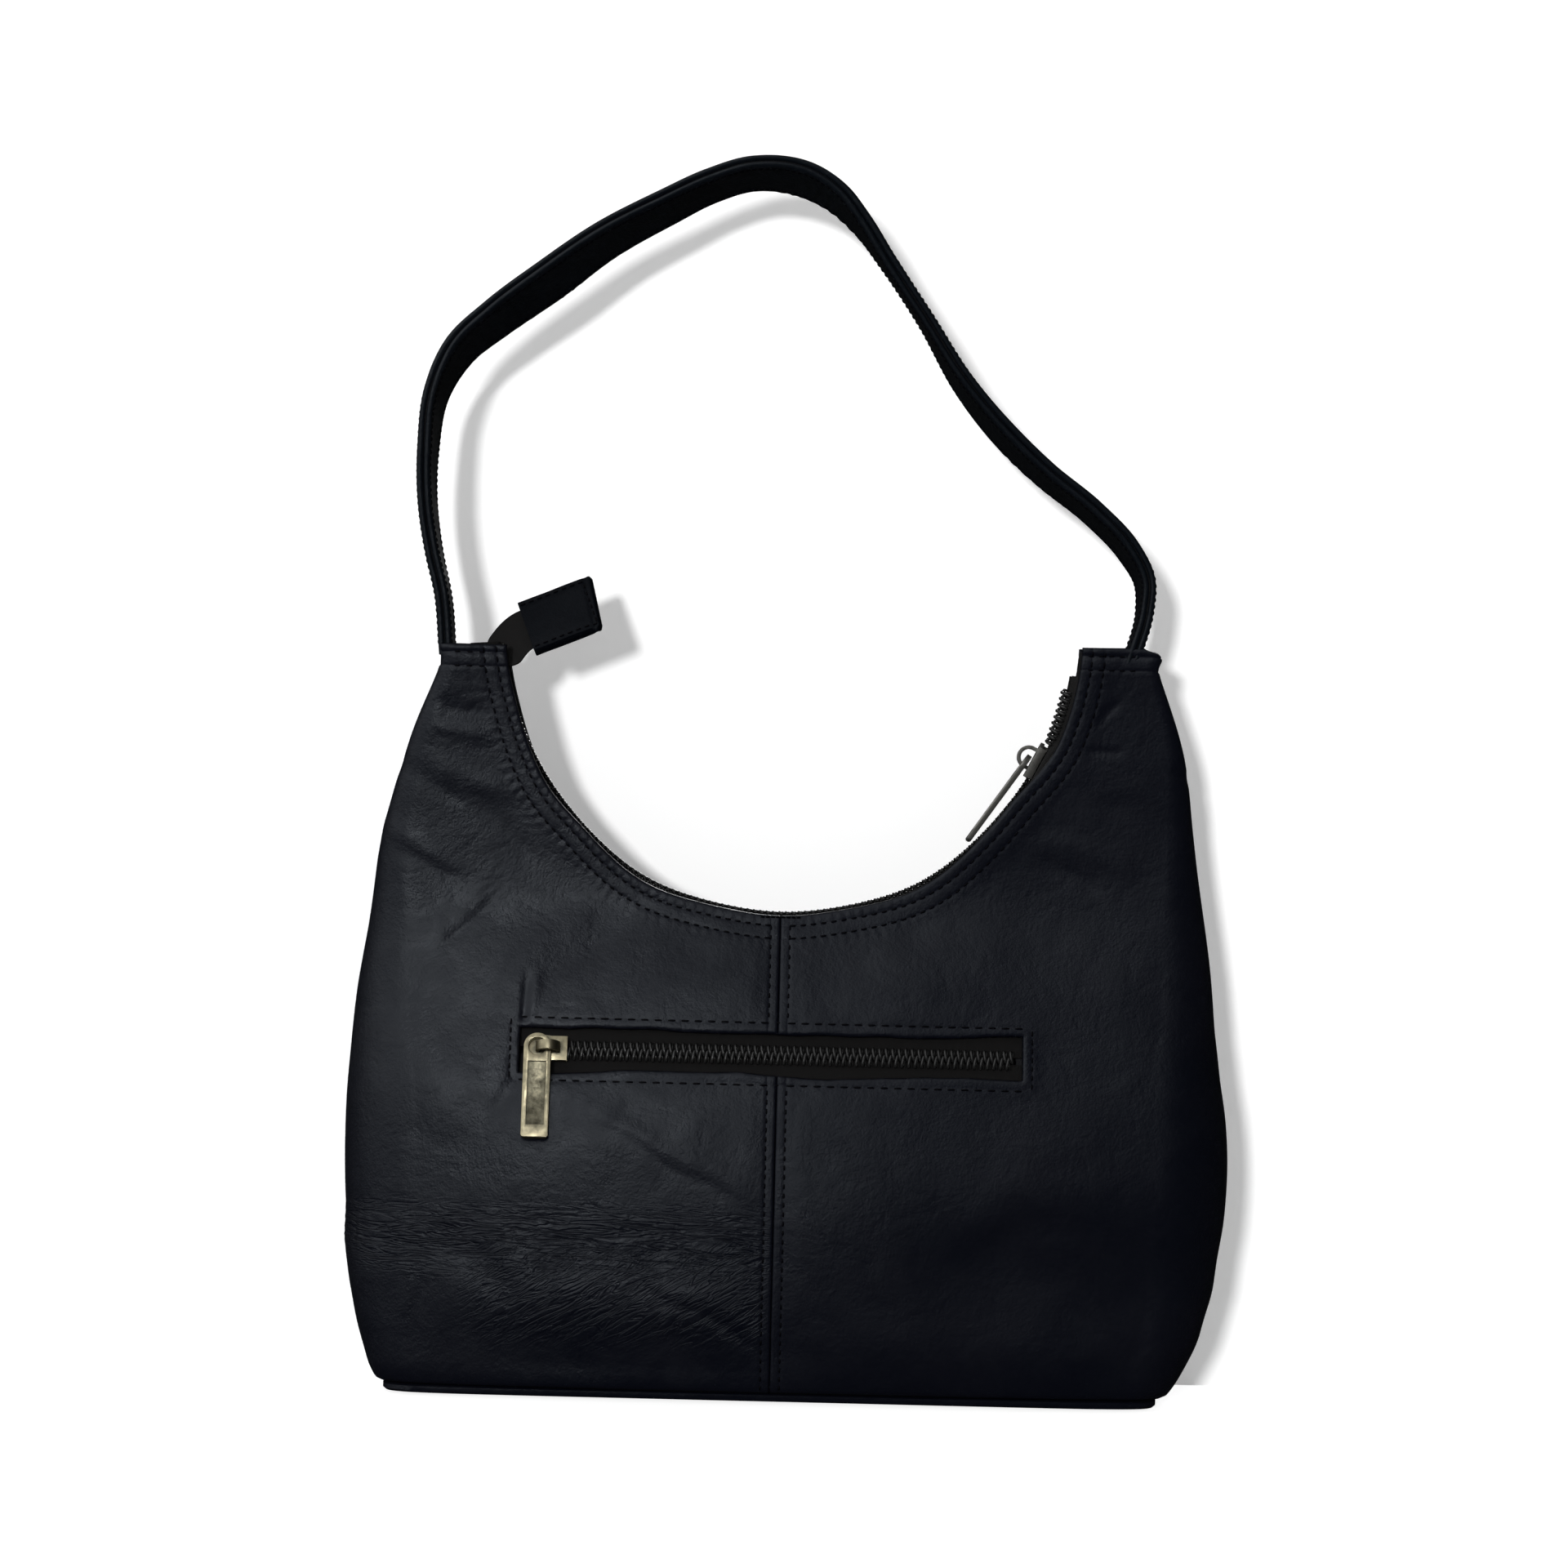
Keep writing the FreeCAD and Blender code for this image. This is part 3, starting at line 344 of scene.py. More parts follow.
def object_position(tree, scale=(1, 1, 1)):
    """Object coordinates, stretched by a scale."""
    place = node(tree, "ShaderNodeTexCoord")
    mapping = node(tree, "ShaderNodeMapping")
    mapping.inputs["Scale"].default_value = scale
    link(tree, place.outputs["Object"], mapping.inputs["Vector"])
    return mapping.outputs["Vector"]


def ramp(tree, source, stops):
    """A colour ramp with the given stops, as (place, colour)."""
    item = node(tree, "ShaderNodeValToRGB")
    elements = item.color_ramp.elements
    while len(elements) < len(stops):
        elements.new(0.5)
    for element, (place, colour) in zip(elements, stops):
        element.position = place
        element.color = (*colour, 1) if len(colour) == 3 else colour
    link(tree, source, item.inputs["Fac"])
    return item.outputs["Color"]


def height_chain(tree, shader, layers):
    """Bump from several height sources, as (source, strength, depth)."""
    last = None
    for source, strength, depth in layers:
        item = node(tree, "ShaderNodeBump", Strength=strength, Distance=depth)
        link(tree, source, item.inputs["Height"])
        if last is not None:
            link(tree, last, item.inputs["Normal"])
        last = item.outputs["Normal"]
    link(tree, last, shader.inputs["Normal"])


def creased_band(tree, turn, stretch, low, high, left):
    """Fine wandering creases between two heights from left to the seam, 1 where there is none."""
    place = node(tree, "ShaderNodeTexCoord")
    turned = node(tree, "ShaderNodeMapping")
    turned.inputs["Rotation"].default_value = (0, math.radians(turn), 0)
    link(tree, place.outputs["Object"], turned.inputs["Vector"])
    drawn = node(tree, "ShaderNodeMapping")
    drawn.inputs["Scale"].default_value = stretch
    link(tree, turned.outputs["Vector"], drawn.inputs["Vector"])
    waves = node(tree, "ShaderNodeTexNoise", Scale=1.0, Detail=2.5, Roughness=0.5, Distortion=0.5)
    link(tree, drawn.outputs["Vector"], waves.inputs["Vector"])
    lines = ramp(tree, waves.outputs["Fac"], [(0.36, (1, 1, 1)), (0.42, (0.35, 0.35, 0.35)),
                                              (0.48, (1, 1, 1)), (0.54, (0, 0, 0)),
                                              (0.62, (1, 1, 1))])
    split = node(tree, "ShaderNodeSeparateXYZ")
    link(tree, place.outputs["Object"], split.inputs[0])
    band = ramp(tree, split.outputs["Z"], [(low - 0.008, (0, 0, 0)), (low + 0.004, (1, 1, 1)),
                                           (high - 0.004, (1, 1, 1)), (high + 0.006, (0, 0, 0))])
    mask = node(tree, "ShaderNodeMath", operation="MULTIPLY")
    link(tree, band, mask.inputs[0])
    for start, end in ((0.0, -0.006), (left, left + 0.016)):
        half = node(tree, "ShaderNodeMapRange")
        half.inputs["From Min"].default_value = start
        half.inputs["From Max"].default_value = end
        link(tree, split.outputs["X"], half.inputs["Value"])
        if start == 0.0:
            link(tree, half.outputs["Result"], mask.inputs[1])
    both = node(tree, "ShaderNodeMath", operation="MULTIPLY")
    link(tree, mask.outputs[0], both.inputs[0])
    link(tree, half.outputs["Result"], both.inputs[1])
    plain = node(tree, "ShaderNodeMix", data_type="RGBA")
    plain.inputs[6].default_value = (1, 1, 1, 1)
    link(tree, both.outputs[0], plain.inputs["Factor"])
    link(tree, lines, plain.inputs[7])
    return plain.outputs[2]


def nappa_leather(name, dark, light, rough_low, rough_high, specular=0.35, creased=False):
    """Smooth black nappa: fine pebble grain, faint scuffs and tiny pale dust specks."""
    material, tree, shader = new_material(name)
    position = object_position(tree)
    pebble = node(tree, "ShaderNodeTexVoronoi", Scale=1500.0, feature="SMOOTH_F1")
    pebble.inputs["Smoothness"].default_value = 0.4
    link(tree, position, pebble.inputs["Vector"])
    grain = node(tree, "ShaderNodeTexNoise", Scale=620.0, Detail=6.0, Roughness=0.62)
    link(tree, position, grain.inputs["Vector"])
    slack = node(tree, "ShaderNodeTexNoise", Scale=95.0, Detail=4.0, Roughness=0.55)
    slack.inputs["Distortion"].default_value = 0.6
    link(tree, position, slack.inputs["Vector"])
    patch = node(tree, "ShaderNodeTexNoise", Scale=22.0, Detail=3.0, Roughness=0.5)
    link(tree, position, patch.inputs["Vector"])
    speck = node(tree, "ShaderNodeTexVoronoi", Scale=130.0)
    link(tree, position, speck.inputs["Vector"])
    dust = ramp(tree, speck.outputs["Distance"], [(0.0, (1, 1, 1)), (0.055, (0, 0, 0))])
    dust_gate = ramp(tree, speck.outputs["Color"], [(0.88, (0, 0, 0)), (0.90, (1, 1, 1))])
    dust_mix = node(tree, "ShaderNodeMath", operation="MULTIPLY")
    link(tree, dust, dust_mix.inputs[0])
    link(tree, dust_gate, dust_mix.inputs[1])

    tone = ramp(tree, patch.outputs["Fac"], [(0.32, dark), (0.70, light)])
    colour = node(tree, "ShaderNodeMix", data_type="RGBA")
    link(tree, tone, colour.inputs[6])
    link(tree, dust_mix.outputs[0], colour.inputs["Factor"])
    colour.inputs[7].default_value = (0.16, 0.16, 0.16, 1)
    link(tree, colour.outputs[2], shader.inputs["Base Color"])

    rough = node(tree, "ShaderNodeMapRange")
    rough.inputs["From Min"].default_value = 0.3
    rough.inputs["From Max"].default_value = 0.7
    rough.inputs["To Min"].default_value = rough_low
    rough.inputs["To Max"].default_value = rough_high
    link(tree, slack.outputs["Fac"], rough.inputs["Value"])
    link(tree, rough.outputs["Result"], shader.inputs["Roughness"])
    shader.inputs["Specular IOR Level"].default_value = specular
    shader.inputs["Specular Tint"].default_value = (0.87, 0.935, 1.0, 1)
    layers = [(slack.outputs["Fac"], 0.34, 0.0014), (grain.outputs["Fac"], 0.40, 0.0005),
              (pebble.outputs["Distance"], 0.25, 0.0002)]
    if creased:
        layers += [(creased_band(tree, -2, (60, 60, 430), 0.044, 0.057, -0.150), 0.62, 0.0006),
                   (creased_band(tree, 30, (70, 70, 380), 0.022, 0.046, -0.100), 0.50, 0.0006)]
    height_chain(tree, shader, layers)
    return material


def woven_cloth(name, dark, light, across, along):
    """Cloth or tape with a weave that follows the piece's own unwrapped surface."""
    material, tree, shader = new_material(name)
    place = node(tree, "ShaderNodeTexCoord")
    mapping = node(tree, "ShaderNodeMapping")
    mapping.inputs["Scale"].default_value = (across, along, 1)
    link(tree, place.outputs["UV"], mapping.inputs["Vector"])
    weft = node(tree, "ShaderNodeTexWave", Scale=1.0, bands_direction="DIAGONAL")
    weft.inputs["Distortion"].default_value = 0.6
    weft.inputs["Detail"].default_value = 1.0
    link(tree, mapping.outputs["Vector"], weft.inputs["Vector"])
    warp = node(tree, "ShaderNodeTexWave", Scale=0.8, bands_direction="Y")
    link(tree, mapping.outputs["Vector"], warp.inputs["Vector"])
    fuzz = node(tree, "ShaderNodeTexNoise", Scale=900.0, Detail=3.0)
    link(tree, object_position(tree), fuzz.inputs["Vector"])
    both = node(tree, "ShaderNodeMath", operation="MULTIPLY_ADD")
    both.inputs[1].default_value = 0.7
    link(tree, weft.outputs["Fac"], both.inputs[0])
    link(tree, warp.outputs["Fac"], both.inputs[2])
    tone = ramp(tree, both.outputs[0], [(0.2, dark), (1.0, light)])
    link(tree, tone, shader.inputs["Base Color"])
    shader.inputs["Roughness"].default_value = 0.85
    shader.inputs["Specular IOR Level"].default_value = 0.25
    shader.inputs["Sheen Weight"].default_value = 0.02
    height_chain(tree, shader, [(both.outputs[0], 0.5, 0.0003),
                                (fuzz.outputs["Fac"], 0.2, 0.0001)])
    return material


def aged_metal(name, worn, patina, deep):
    """Plated metal with dark patina in its hollows and bright worn edges."""
    material, tree, shader = new_material(name)
    position = object_position(tree)
    mottle = node(tree, "ShaderNodeTexNoise", Scale=260.0, Detail=7.0, Roughness=0.68)
    link(tree, position, mottle.inputs["Vector"])
    geometry = node(tree, "ShaderNodeNewGeometry")
    edges = ramp(tree, geometry.outputs["Pointiness"], [(0.49, (0, 0, 0)), (0.56, (1, 1, 1))])
    scratch = node(tree, "ShaderNodeTexNoise", Scale=40.0, Detail=2.0)
    link(tree, object_position(tree, (30, 30, 2)), scratch.inputs["Vector"])
    wear = node(tree, "ShaderNodeMath", operation="MULTIPLY_ADD")
    wear.inputs[1].default_value = 0.55
    link(tree, edges, wear.inputs[0])
    link(tree, mottle.outputs["Fac"], wear.inputs[2])
    tone = ramp(tree, wear.outputs[0], [(0.30, deep), (0.52, patina), (0.92, worn)])
    link(tree, tone, shader.inputs["Base Color"])
    shader.inputs["Metallic"].default_value = 1.0
    rough = ramp(tree, mottle.outputs["Fac"], [(0.3, (0.50, 0.50, 0.50)),
                                               (0.7, (0.30, 0.30, 0.30))])
    link(tree, rough, shader.inputs["Roughness"])
    height_chain(tree, shader, [(mottle.outputs["Fac"], 0.25, 0.0002),
                                (scratch.outputs["Fac"], 0.12, 0.0001)])
    return material


def moulded_nylon(name, colour, rough, specular):
    """Slightly glossy nylon of coil and thread."""
    material, tree, shader = new_material(name)
    flow = node(tree, "ShaderNodeTexNoise", Scale=1400.0, Detail=2.0)
    link(tree, object_position(tree), flow.inputs["Vector"])
    tone = ramp(tree, flow.outputs["Fac"], [(0.3, tuple(c * 0.7 for c in colour)), (0.7, colour)])
    link(tree, tone, shader.inputs["Base Color"])
    shader.inputs["Roughness"].default_value = rough
    shader.inputs["Specular IOR Level"].default_value = specular
    height_chain(tree, shader, [(flow.outputs["Fac"], 0.15, 0.0001)])
    return material


BODY_LEATHER = ((0.0014, 0.0019, 0.0046), (0.0028, 0.0031, 0.0060), 0.36, 0.52, 0.42)
black_leather = nappa_leather("black_nappa", *BODY_LEATHER)
creased_leather = nappa_leather("creased_nappa", *BODY_LEATHER, creased=True)
strap_leather = nappa_leather("strap_nappa", (0.0016, 0.0026, 0.0044), (0.0030, 0.0042, 0.0060),
                              0.32, 0.46)
tab_leather = nappa_leather("tab_nappa", (0.0008, 0.0013, 0.0026), (0.0018, 0.0022, 0.0036),
                            0.40, 0.52, 0.12)
edge_leather = nappa_leather("raw_leather_edge", (0.004, 0.004, 0.004), (0.012, 0.012, 0.012),
                             0.7, 0.85, 0.2)
zip_cloth = woven_cloth("zip_tape_weave", (0.0018, 0.0018, 0.0018), (0.010, 0.0095, 0.0095),
                        22, 120)
lining_cloth = woven_cloth("lining_twill", (0.006, 0.006, 0.007), (0.020, 0.020, 0.022), 180, 180)
coil_nylon = moulded_nylon("black_coil", (0.010, 0.010, 0.010), 0.26, 0.6)
thread_nylon = moulded_nylon("black_thread", (0.001, 0.001, 0.002), 0.6, 0.12)
brass = aged_metal("antique_brass", (0.42, 0.375, 0.25), (0.15, 0.14, 0.10), (0.035, 0.032, 0.022))
nickel = aged_metal("antique_nickel", (0.62, 0.61, 0.57), (0.30, 0.30, 0.28), (0.05, 0.05, 0.05))

# ---------------------------------------------------------------- shape of the leather body


def section_at(z):
    """Half width, middle and side half depths and corner radius at a height."""
    heights = BODY_SECTIONS[:, 0]
    z = np.asarray(np.clip(z, heights[0], heights[-1]))
    section = smooth_through(BODY_SECTIONS[:, 1:], heights, z)
    return [section[..., k] for k in range(4)]


def ear_top(x):
    """Height of the ear's hemmed top; the left one hangs a little lower."""
    return np.where(np.asarray(x) < 0, EAR_TOPS[0], EAR_TOPS[1])


def outline_at(z, side):
    """section_at with the ears' real widths and the soft turn of the bottom edge."""
    width, middle, edge, corner = section_at(z)
    slack = 1 - ease(z, 130, 200)
    foot = np.clip((9 - z) / 9, 0, 1)
    turn = 1 - np.sqrt(1 - foot ** 2 * 0.98)
    if side < 0:
        width = width - 2.4 * slack - 1.4 * ease(z, 45, 60) * (1 - 0.6 * ease(z, 190, 215))
        width = width - 2.2 * ease(z, 150, 239) - 5.0 * ease(z, 165, 226) + 2.6 * ease(z, 229, 235)
        width = width - 4.2 * turn
    else:
        width = width + 2.2 * slack + 2.2 * ease(z, 150, 239) + 1.6 * bump(z, 200, 30)
        width = width - 2.0 * bump(z, 118, 24) + 1.2 * bump(z, 36, 9) - 3.4 * (1 - ease(z, 4, 24))
        width = width + 2.6 * bump(z, 235.8, 2.4) - 6.0 * turn
    return width, middle - 4 * turn, edge - 4 * turn, corner


def girth_at(z, side, inset=0.0):
    """Length of the half outline from the centre seam to the side seam."""
    width, _, edge, corner = outline_at(z, side)
    width, edge, corner = width - inset, edge - inset, np.maximum(corner - inset, 0.8)
    return width - corner + corner * math.pi / 2 + np.maximum(edge - corner, 0)


def skin_point(along, z, side, inset=0.0):
    """Point of the front skin at a length round from the centre seam and a height."""
    width, middle, edge, corner = outline_at(z, side)
    width, edge = width - inset, edge - inset
    middle = np.maximum(middle - inset, 0.6)
    corner = np.maximum(corner - inset, 0.8)
    straight = width - corner
    share = np.clip(along / straight, 0, 1)
    turn = np.clip((along - straight) / corner, 0, math.pi / 2)
    early = 1.7 * share ** 6 * np.cos(turn)
    flat_depth = edge + (middle - edge) * (1 - share ** 2)
    past = np.clip(along - straight - corner * math.pi / 2, 0, None)
    x = np.minimum(along, straight) + corner * np.sin(turn)
    depth = np.where(along <= straight, flat_depth, edge - corner * (1 - np.cos(turn)) - past)
    return np.stack([side * x, -np.maximum(depth - early, 0), z], axis=-1)


def sag(angle):
    """Share of the leather's droop between the ears and the middle of the mouth."""
    return bump(np.abs(angle), 28, 13) + 0.5 * bump(angle, 0, 13)


def chain_radius(angle):
    """Radius of the zip chain's line, which sags with the leather."""
    return CHAIN_RADIUS + 1.4 * sag(angle)


def mouth_edge(angle):
    """Radius of the leather's edge at an angle from straight down, in degrees."""
    left = 1.0 * bump(angle, -54, 7) - 1.0 * ease(-angle, 60, 75)
    return MOUTH_RADIUS + 2.6 * sag(angle) + 3.4 * ease(angle, 52, 69) + left


EDGE_OFFSETS = [0, 0.35, 0.8, 1.4, 2.1, 2.8, 3.2, 3.5, 3.8, 4.3, 5.2, 6.2, 6.9, 7.2, 7.5, 7.8, 8.3,
                9.2, 10.4, 11.8]
SEAM_OFFSETS = [0, 0.3, 0.7, 1.2, 1.8, 2.4, 2.75, 3.0, 3.25, 3.7, 4.4, 5.3, 6.4]
HEM_OFFSETS = [0, 0.35, 0.8, 1.4, 2.0, 2.35, 2.6, 2.85, 3.4, 4.4, 5.6, 6.5, 6.8, 7.0, 7.2, 7.7, 8.8,
               10.2]


def panel_domain(side, fine):
    """Rows and columns of (length round, height) from the outer edge in to the mouth."""
    seam, hem = np.array(SEAM_OFFSETS), np.array(HEM_OFFSETS)
    seam_radius = mouth_edge(side * np.degrees(seam / MOUTH_RADIUS))
    first = np.stack([seam, MOUTH_CENTRE - np.sqrt(seam_radius ** 2 - seam ** 2)], 1)
    first_end = np.stack([seam, np.full(len(seam), LEATHER_BOTTOM)], 1)
    hem_height = float(ear_top(side)) - hem[::-1]
    hem_angle = np.degrees(np.arccos((MOUTH_CENTRE - hem_height) / MOUTH_RADIUS))
    hem_radius = mouth_edge(side * hem_angle)
    last = np.stack([np.sqrt(hem_radius ** 2 - (MOUTH_CENTRE - hem_height) ** 2), hem_height], 1)
    last_end = np.stack([girth_at(hem_height, side), hem_height], 1)

    start = math.degrees(seam[-1] / seam_radius[-1])
    end = hem_angle[0]
    count = int(170 * fine)
    angles = np.linspace(start, end, count + 2)[1:-1]
    radius = mouth_edge(side * angles)
    middle = np.stack([radius * np.sin(np.radians(angles)),
                       MOUTH_CENTRE - radius * np.cos(np.radians(angles))], 1)
    bottom_count = int(count * 0.5)
    corner_girth = float(girth_at(np.array(LEATHER_BOTTOM), side))
    bottom = np.linspace(seam[-1], corner_girth, bottom_count + 1)[1:]
    rise = np.linspace(LEATHER_BOTTOM, hem_height[0], count - bottom_count + 2)[1:-1]
    middle_end = np.concatenate([
        np.stack([bottom, np.full(bottom_count, LEATHER_BOTTOM)], 1),
        np.stack([girth_at(rise, side), rise], 1)])[:count]
    inner = np.concatenate([first, middle, last])
    outer = np.concatenate([first_end, middle_end, last_end])

    offsets = np.array(EDGE_OFFSETS)
    rows = int(112 * fine)
    lines = []
    for start_point, end_point in zip(inner, outer):
        run = np.linalg.norm(end_point - start_point)
        near = np.minimum(offsets, run * (0.2 + 0.03 * offsets))
        far = np.linspace(near[-1], run, rows + 1)[1:]
        shares = np.concatenate([near, far]) / run
        lines.append(start_point + shares[:, None] * (end_point - start_point))
    return np.array(lines).transpose(1, 0, 2)[::-1]


# Folds as lines on the front: start, end, half width and height (below zero for a hollow).
FRONT_FOLDS = [
    ((-79.5, 131), (-79.0, 111), 1.2, -0.8), ((-76.5, 133), (-76.8, 113), 1.8, 0.35),
    ((-81, 108), (-86, 88), 2.4, -0.6), ((-108, 139), (-90, 154), 1.5, -0.35),
    ((-112, 141), (-93, 158), 3.2, 0.35), ((-75, 127), (-53, 147), 4.5, -0.7),
    ((-84, 132), (-60, 156), 3.6, 0.5), ((-102, 54), (-80, 30), 5.0, -1.0),
    ((-92, 52), (-72, 34), 4.0, 0.7), ((-65, 94), (-5, 65), 3.4, 0.45),
    ((-60, 89), (-8, 60), 1.8, -0.22), ((-51, 42), (-4, 18), 1.6, -0.5),
    ((-47, 45), (-3, 23), 2.4, 0.45), ((-134, 50), (-96, 46), 1.5, -0.4),
    ((-96, 46), (-40, 52), 1.4, -0.35), ((-110, 217), (-94, 214), 2.6, -0.5),
    ((-112, 209), (-92, 206), 3.0, 0.5), ((-124, 197), (-100, 186), 2.6, -0.3),
    ((-126, 178), (-104, 166), 3.2, 0.3), ((-126, 171), (-100, 160), 2.6, -0.35),
    ((-112, 196), (-84, 188), 3.5, 0.5), ((-98, 188), (-78, 166), 3.8, -0.45),
    ((96, 206), (107, 206), 0.9, -0.7), ((123, 201), (131, 196), 1.4, -0.6),
    ((80, 171), (101, 160), 3.0, -0.7), ((84, 177), (112, 168), 3.6, 0.45),
    ((100, 190), (126, 178), 5.0, -0.5), ((106, 222), (98, 212), 1.6, -0.4),
    ((45, 46), (140, 40), 14.0, -2.4), ((60, 68), (128, 64), 12.0, 1.2),
    ((20, 20), (120, 12), 9.0, 1.0), ((100, 132), (132, 100), 14.0, 0.9),
    ((30, 134), (74, 140), 8.0, 0.8), ((-60, 78), (-20, 84), 10.0, 0.7),
    ((-98, 34), (-8, 30), 13.0, 3.0), ((-120, 118), (-96, 84), 11.0, 0.8),
    ((-20, 140), (-46, 128), 6.0, -0.5),
]
BACK_FOLDS = [
    ((-100, 150), (-70, 120), 4.0, -1.2), ((-90, 160), (-60, 132), 5.0, 1.0),
    ((90, 158), (64, 120), 4.5, -1.3), ((104, 150), (80, 112), 5.0, 0.9),
    ((-120, 60), (-50, 44), 6.0, -1.8), ((-20, 40), (110, 52), 8.0, -2.0),
    ((-90, 30), (0, 20), 6.0, 1.2), ((96, 214), (112, 208), 2.5, -1.2),
    ((-112, 214), (-92, 210), 2.5, -1.3), ((20, 90), (90, 76), 8.0, 1.4),
    ((-80, 92), (-20, 84), 7.0, 1.0), ((110, 90), (122, 60), 5.0, -1.0),
]


def folds(x, z, table):
    """Height that a table of folds adds, each fading at its ends and wandering a little."""
    total = np.zeros_like(x)
    for (x0, z0), (x1, z1), width, height in table:
        run = math.hypot(x1 - x0, z1 - z0)
        ux, uz = (x1 - x0) / run, (z1 - z0) / run
        along = (x - x0) * ux + (z - z0) * uz
        wander = soft_noise(x, z, 14, 5) * min(width, 3.0) * 0.8
        across = -(x - x0) * uz + (z - z0) * ux + wander
        taper = ease(along, -0.15 * run, 0.25 * run) * (1 - ease(along, 0.75 * run, 1.15 * run))
        total += height * taper * np.exp(-(across / width) ** 2)
    return total


def crumple(x, z, angle, pitch, seed):
    """Fine parallel creases whose ridges wander and fade."""
    turn = math.radians(angle)
    across = -x * math.sin(turn) + z * math.cos(turn)
    along = x * math.cos(turn) + z * math.sin(turn)
    across = (across + 2.2 * soft_noise(along, across, 15, seed)
              + 0.8 * soft_noise(x, z, 5, seed + 1))
    wave = np.sin(across * 2 * math.pi / pitch)
    sharp = 1 - 2 * np.abs(wave) ** 0.8
    fade = np.clip(0.5 + soft_noise(along, across * 1.5, 11, seed + 2), 0, 1)
    return sharp * fade


def window_distance(x, z):
    """Distance outwards from the pocket window's edge."""
    dx = np.maximum(WINDOW_LOW[0] - x, x - WINDOW_HIGH[0])
    dz = np.maximum(WINDOW_LOW[1] - z, z - WINDOW_HIGH[1])
    outside = np.hypot(np.maximum(dx, 0), np.maximum(dz, 0))
    return outside + np.minimum(np.maximum(dx, dz), 0)


def edge_roll(distance, radius):
    """How far an edge of this roundness turns in at a distance from its rim."""
    gap = np.clip(radius - distance, 0, radius)
    return radius - np.sqrt(radius ** 2 - gap ** 2 * 0.97)


def leather_relief(x, z, to_side, front):
    """How far the leather stands out from its plain form."""
    angle = np.degrees(np.arctan2(x, MOUTH_CENTRE - z))
    to_mouth = np.hypot(x, z - MOUTH_CENTRE) - mouth_edge(angle)
    to_top = ear_top(x) - z
    to_seam = np.abs(x)
    to_bottom = z - LEATHER_BOTTOM

    out = -edge_roll(np.minimum(to_mouth, to_top), 1.3)
    out += 0.08 * (1 - ease(to_mouth, 7.8, 10.5))
    out -= 0.24 * bump(to_mouth, 3.5, 0.5) + 0.20 * bump(to_mouth, 7.5, 0.5)
    pucker = np.cos(np.radians(angle) * (MOUTH_RADIUS + 5) * 2 * math.pi / 3.2)
    out += 0.09 * pucker * (bump(to_mouth, 2.2, 1.2) + bump(to_mouth, 8.8, 1.2))
    ear = ease(z, 215, 224)
    out -= ear * (0.45 * bump(to_top, 2.6, 0.5) + 0.30 * bump(to_top, 7.0, 0.5))
    out += 0.20 * ear * (1 - ease(to_top, 7.6, 9.6))
    out += 0.10 * (1 - ease(to_seam, 3.7, 6.0)) - 0.6 * bump(to_seam, 0, 0.34)
    out -= 0.20 * bump(to_seam, 3.0, 0.45)
    out -= 0.9 * bump(to_side, 0, 1.1) + 0.5 * edge_roll(to_bottom, 2.0)
    if front:
        to_window = window_distance(x, z)
        out -= edge_roll(to_window, 1.2)
        out += 0.40 * (1 - ease(to_window, 1.2, 6.6)) - 0.12 * bump(to_window, 3.1, 0.5)

    quiet = (ease(to_mouth, 2, 14) * ease(to_seam, 1, 9) * ease(to_side, 0, 10)
             * ease(to_bottom, 0, 9))
    if front:
        quiet = quiet * ease(window_distance(x, z), 0.5, 7)
    seed = 40 if front else 70
    soft = 0.9 * soft_noise(x, z, 52, seed) + 0.42 * soft_noise(x, z, 24, seed + 1)
    soft += 0.10 * soft_noise(x, z, 9, seed + 2)
    out += quiet * soft + ease(to_mouth, 0.5, 6) * ease(to_side, 0, 5) * folds(
        x, z, FRONT_FOLDS if front else BACK_FOLDS) * (
            ease(window_distance(x, z), 0.2, 3.5) if front else 1)
    if front:
        strip = bump(z, 49 - 0.02 * (x + 60), 6.5) * ease(-x, -2, 8) * ease(to_side, 0, 8)
        out += 0.20 * strip * crumple(x, z, -2, 3.0, 11)
        corner = ease(-x, 0, 8) * ease(x, -104, -88) * bump(z, 37, 14)
        out += 0.22 * corner * crumple(x, z, 29, 3.6, 21)
        lower = ease(-x, 0, 6) * ease(x, -62, -42) * bump(z, 27 - (x + 30) * 0.35, 9)
        out += 0.20 * lower * crumple(x, z, -27, 3.2, 31)
        pulled = bump(x, -88, 9) * bump(z, 107, 13)
        out += 0.22 * pulled * crumple(x, z, -20, 3.4, 41)
        near_fold = bump(x, -66, 14) * bump(z, 134, 12)
        out += 0.16 * near_fold * crumple(x, z, 48, 4.2, 51)
        tugged = bump(x, -98, 16) * bump(z, 150, 14)
        out += 0.10 * tugged * crumple(x, z, 38, 4.6, 61)
        gather = bump(to_mouth, 10, 5) * ease(np.abs(x), 60, 76) * ease(z, 165, 190)
        out += 0.09 * gather * np.sin(angle * math.radians(90) * 14 + 3 * soft_noise(x, z, 8, 9))
    return out


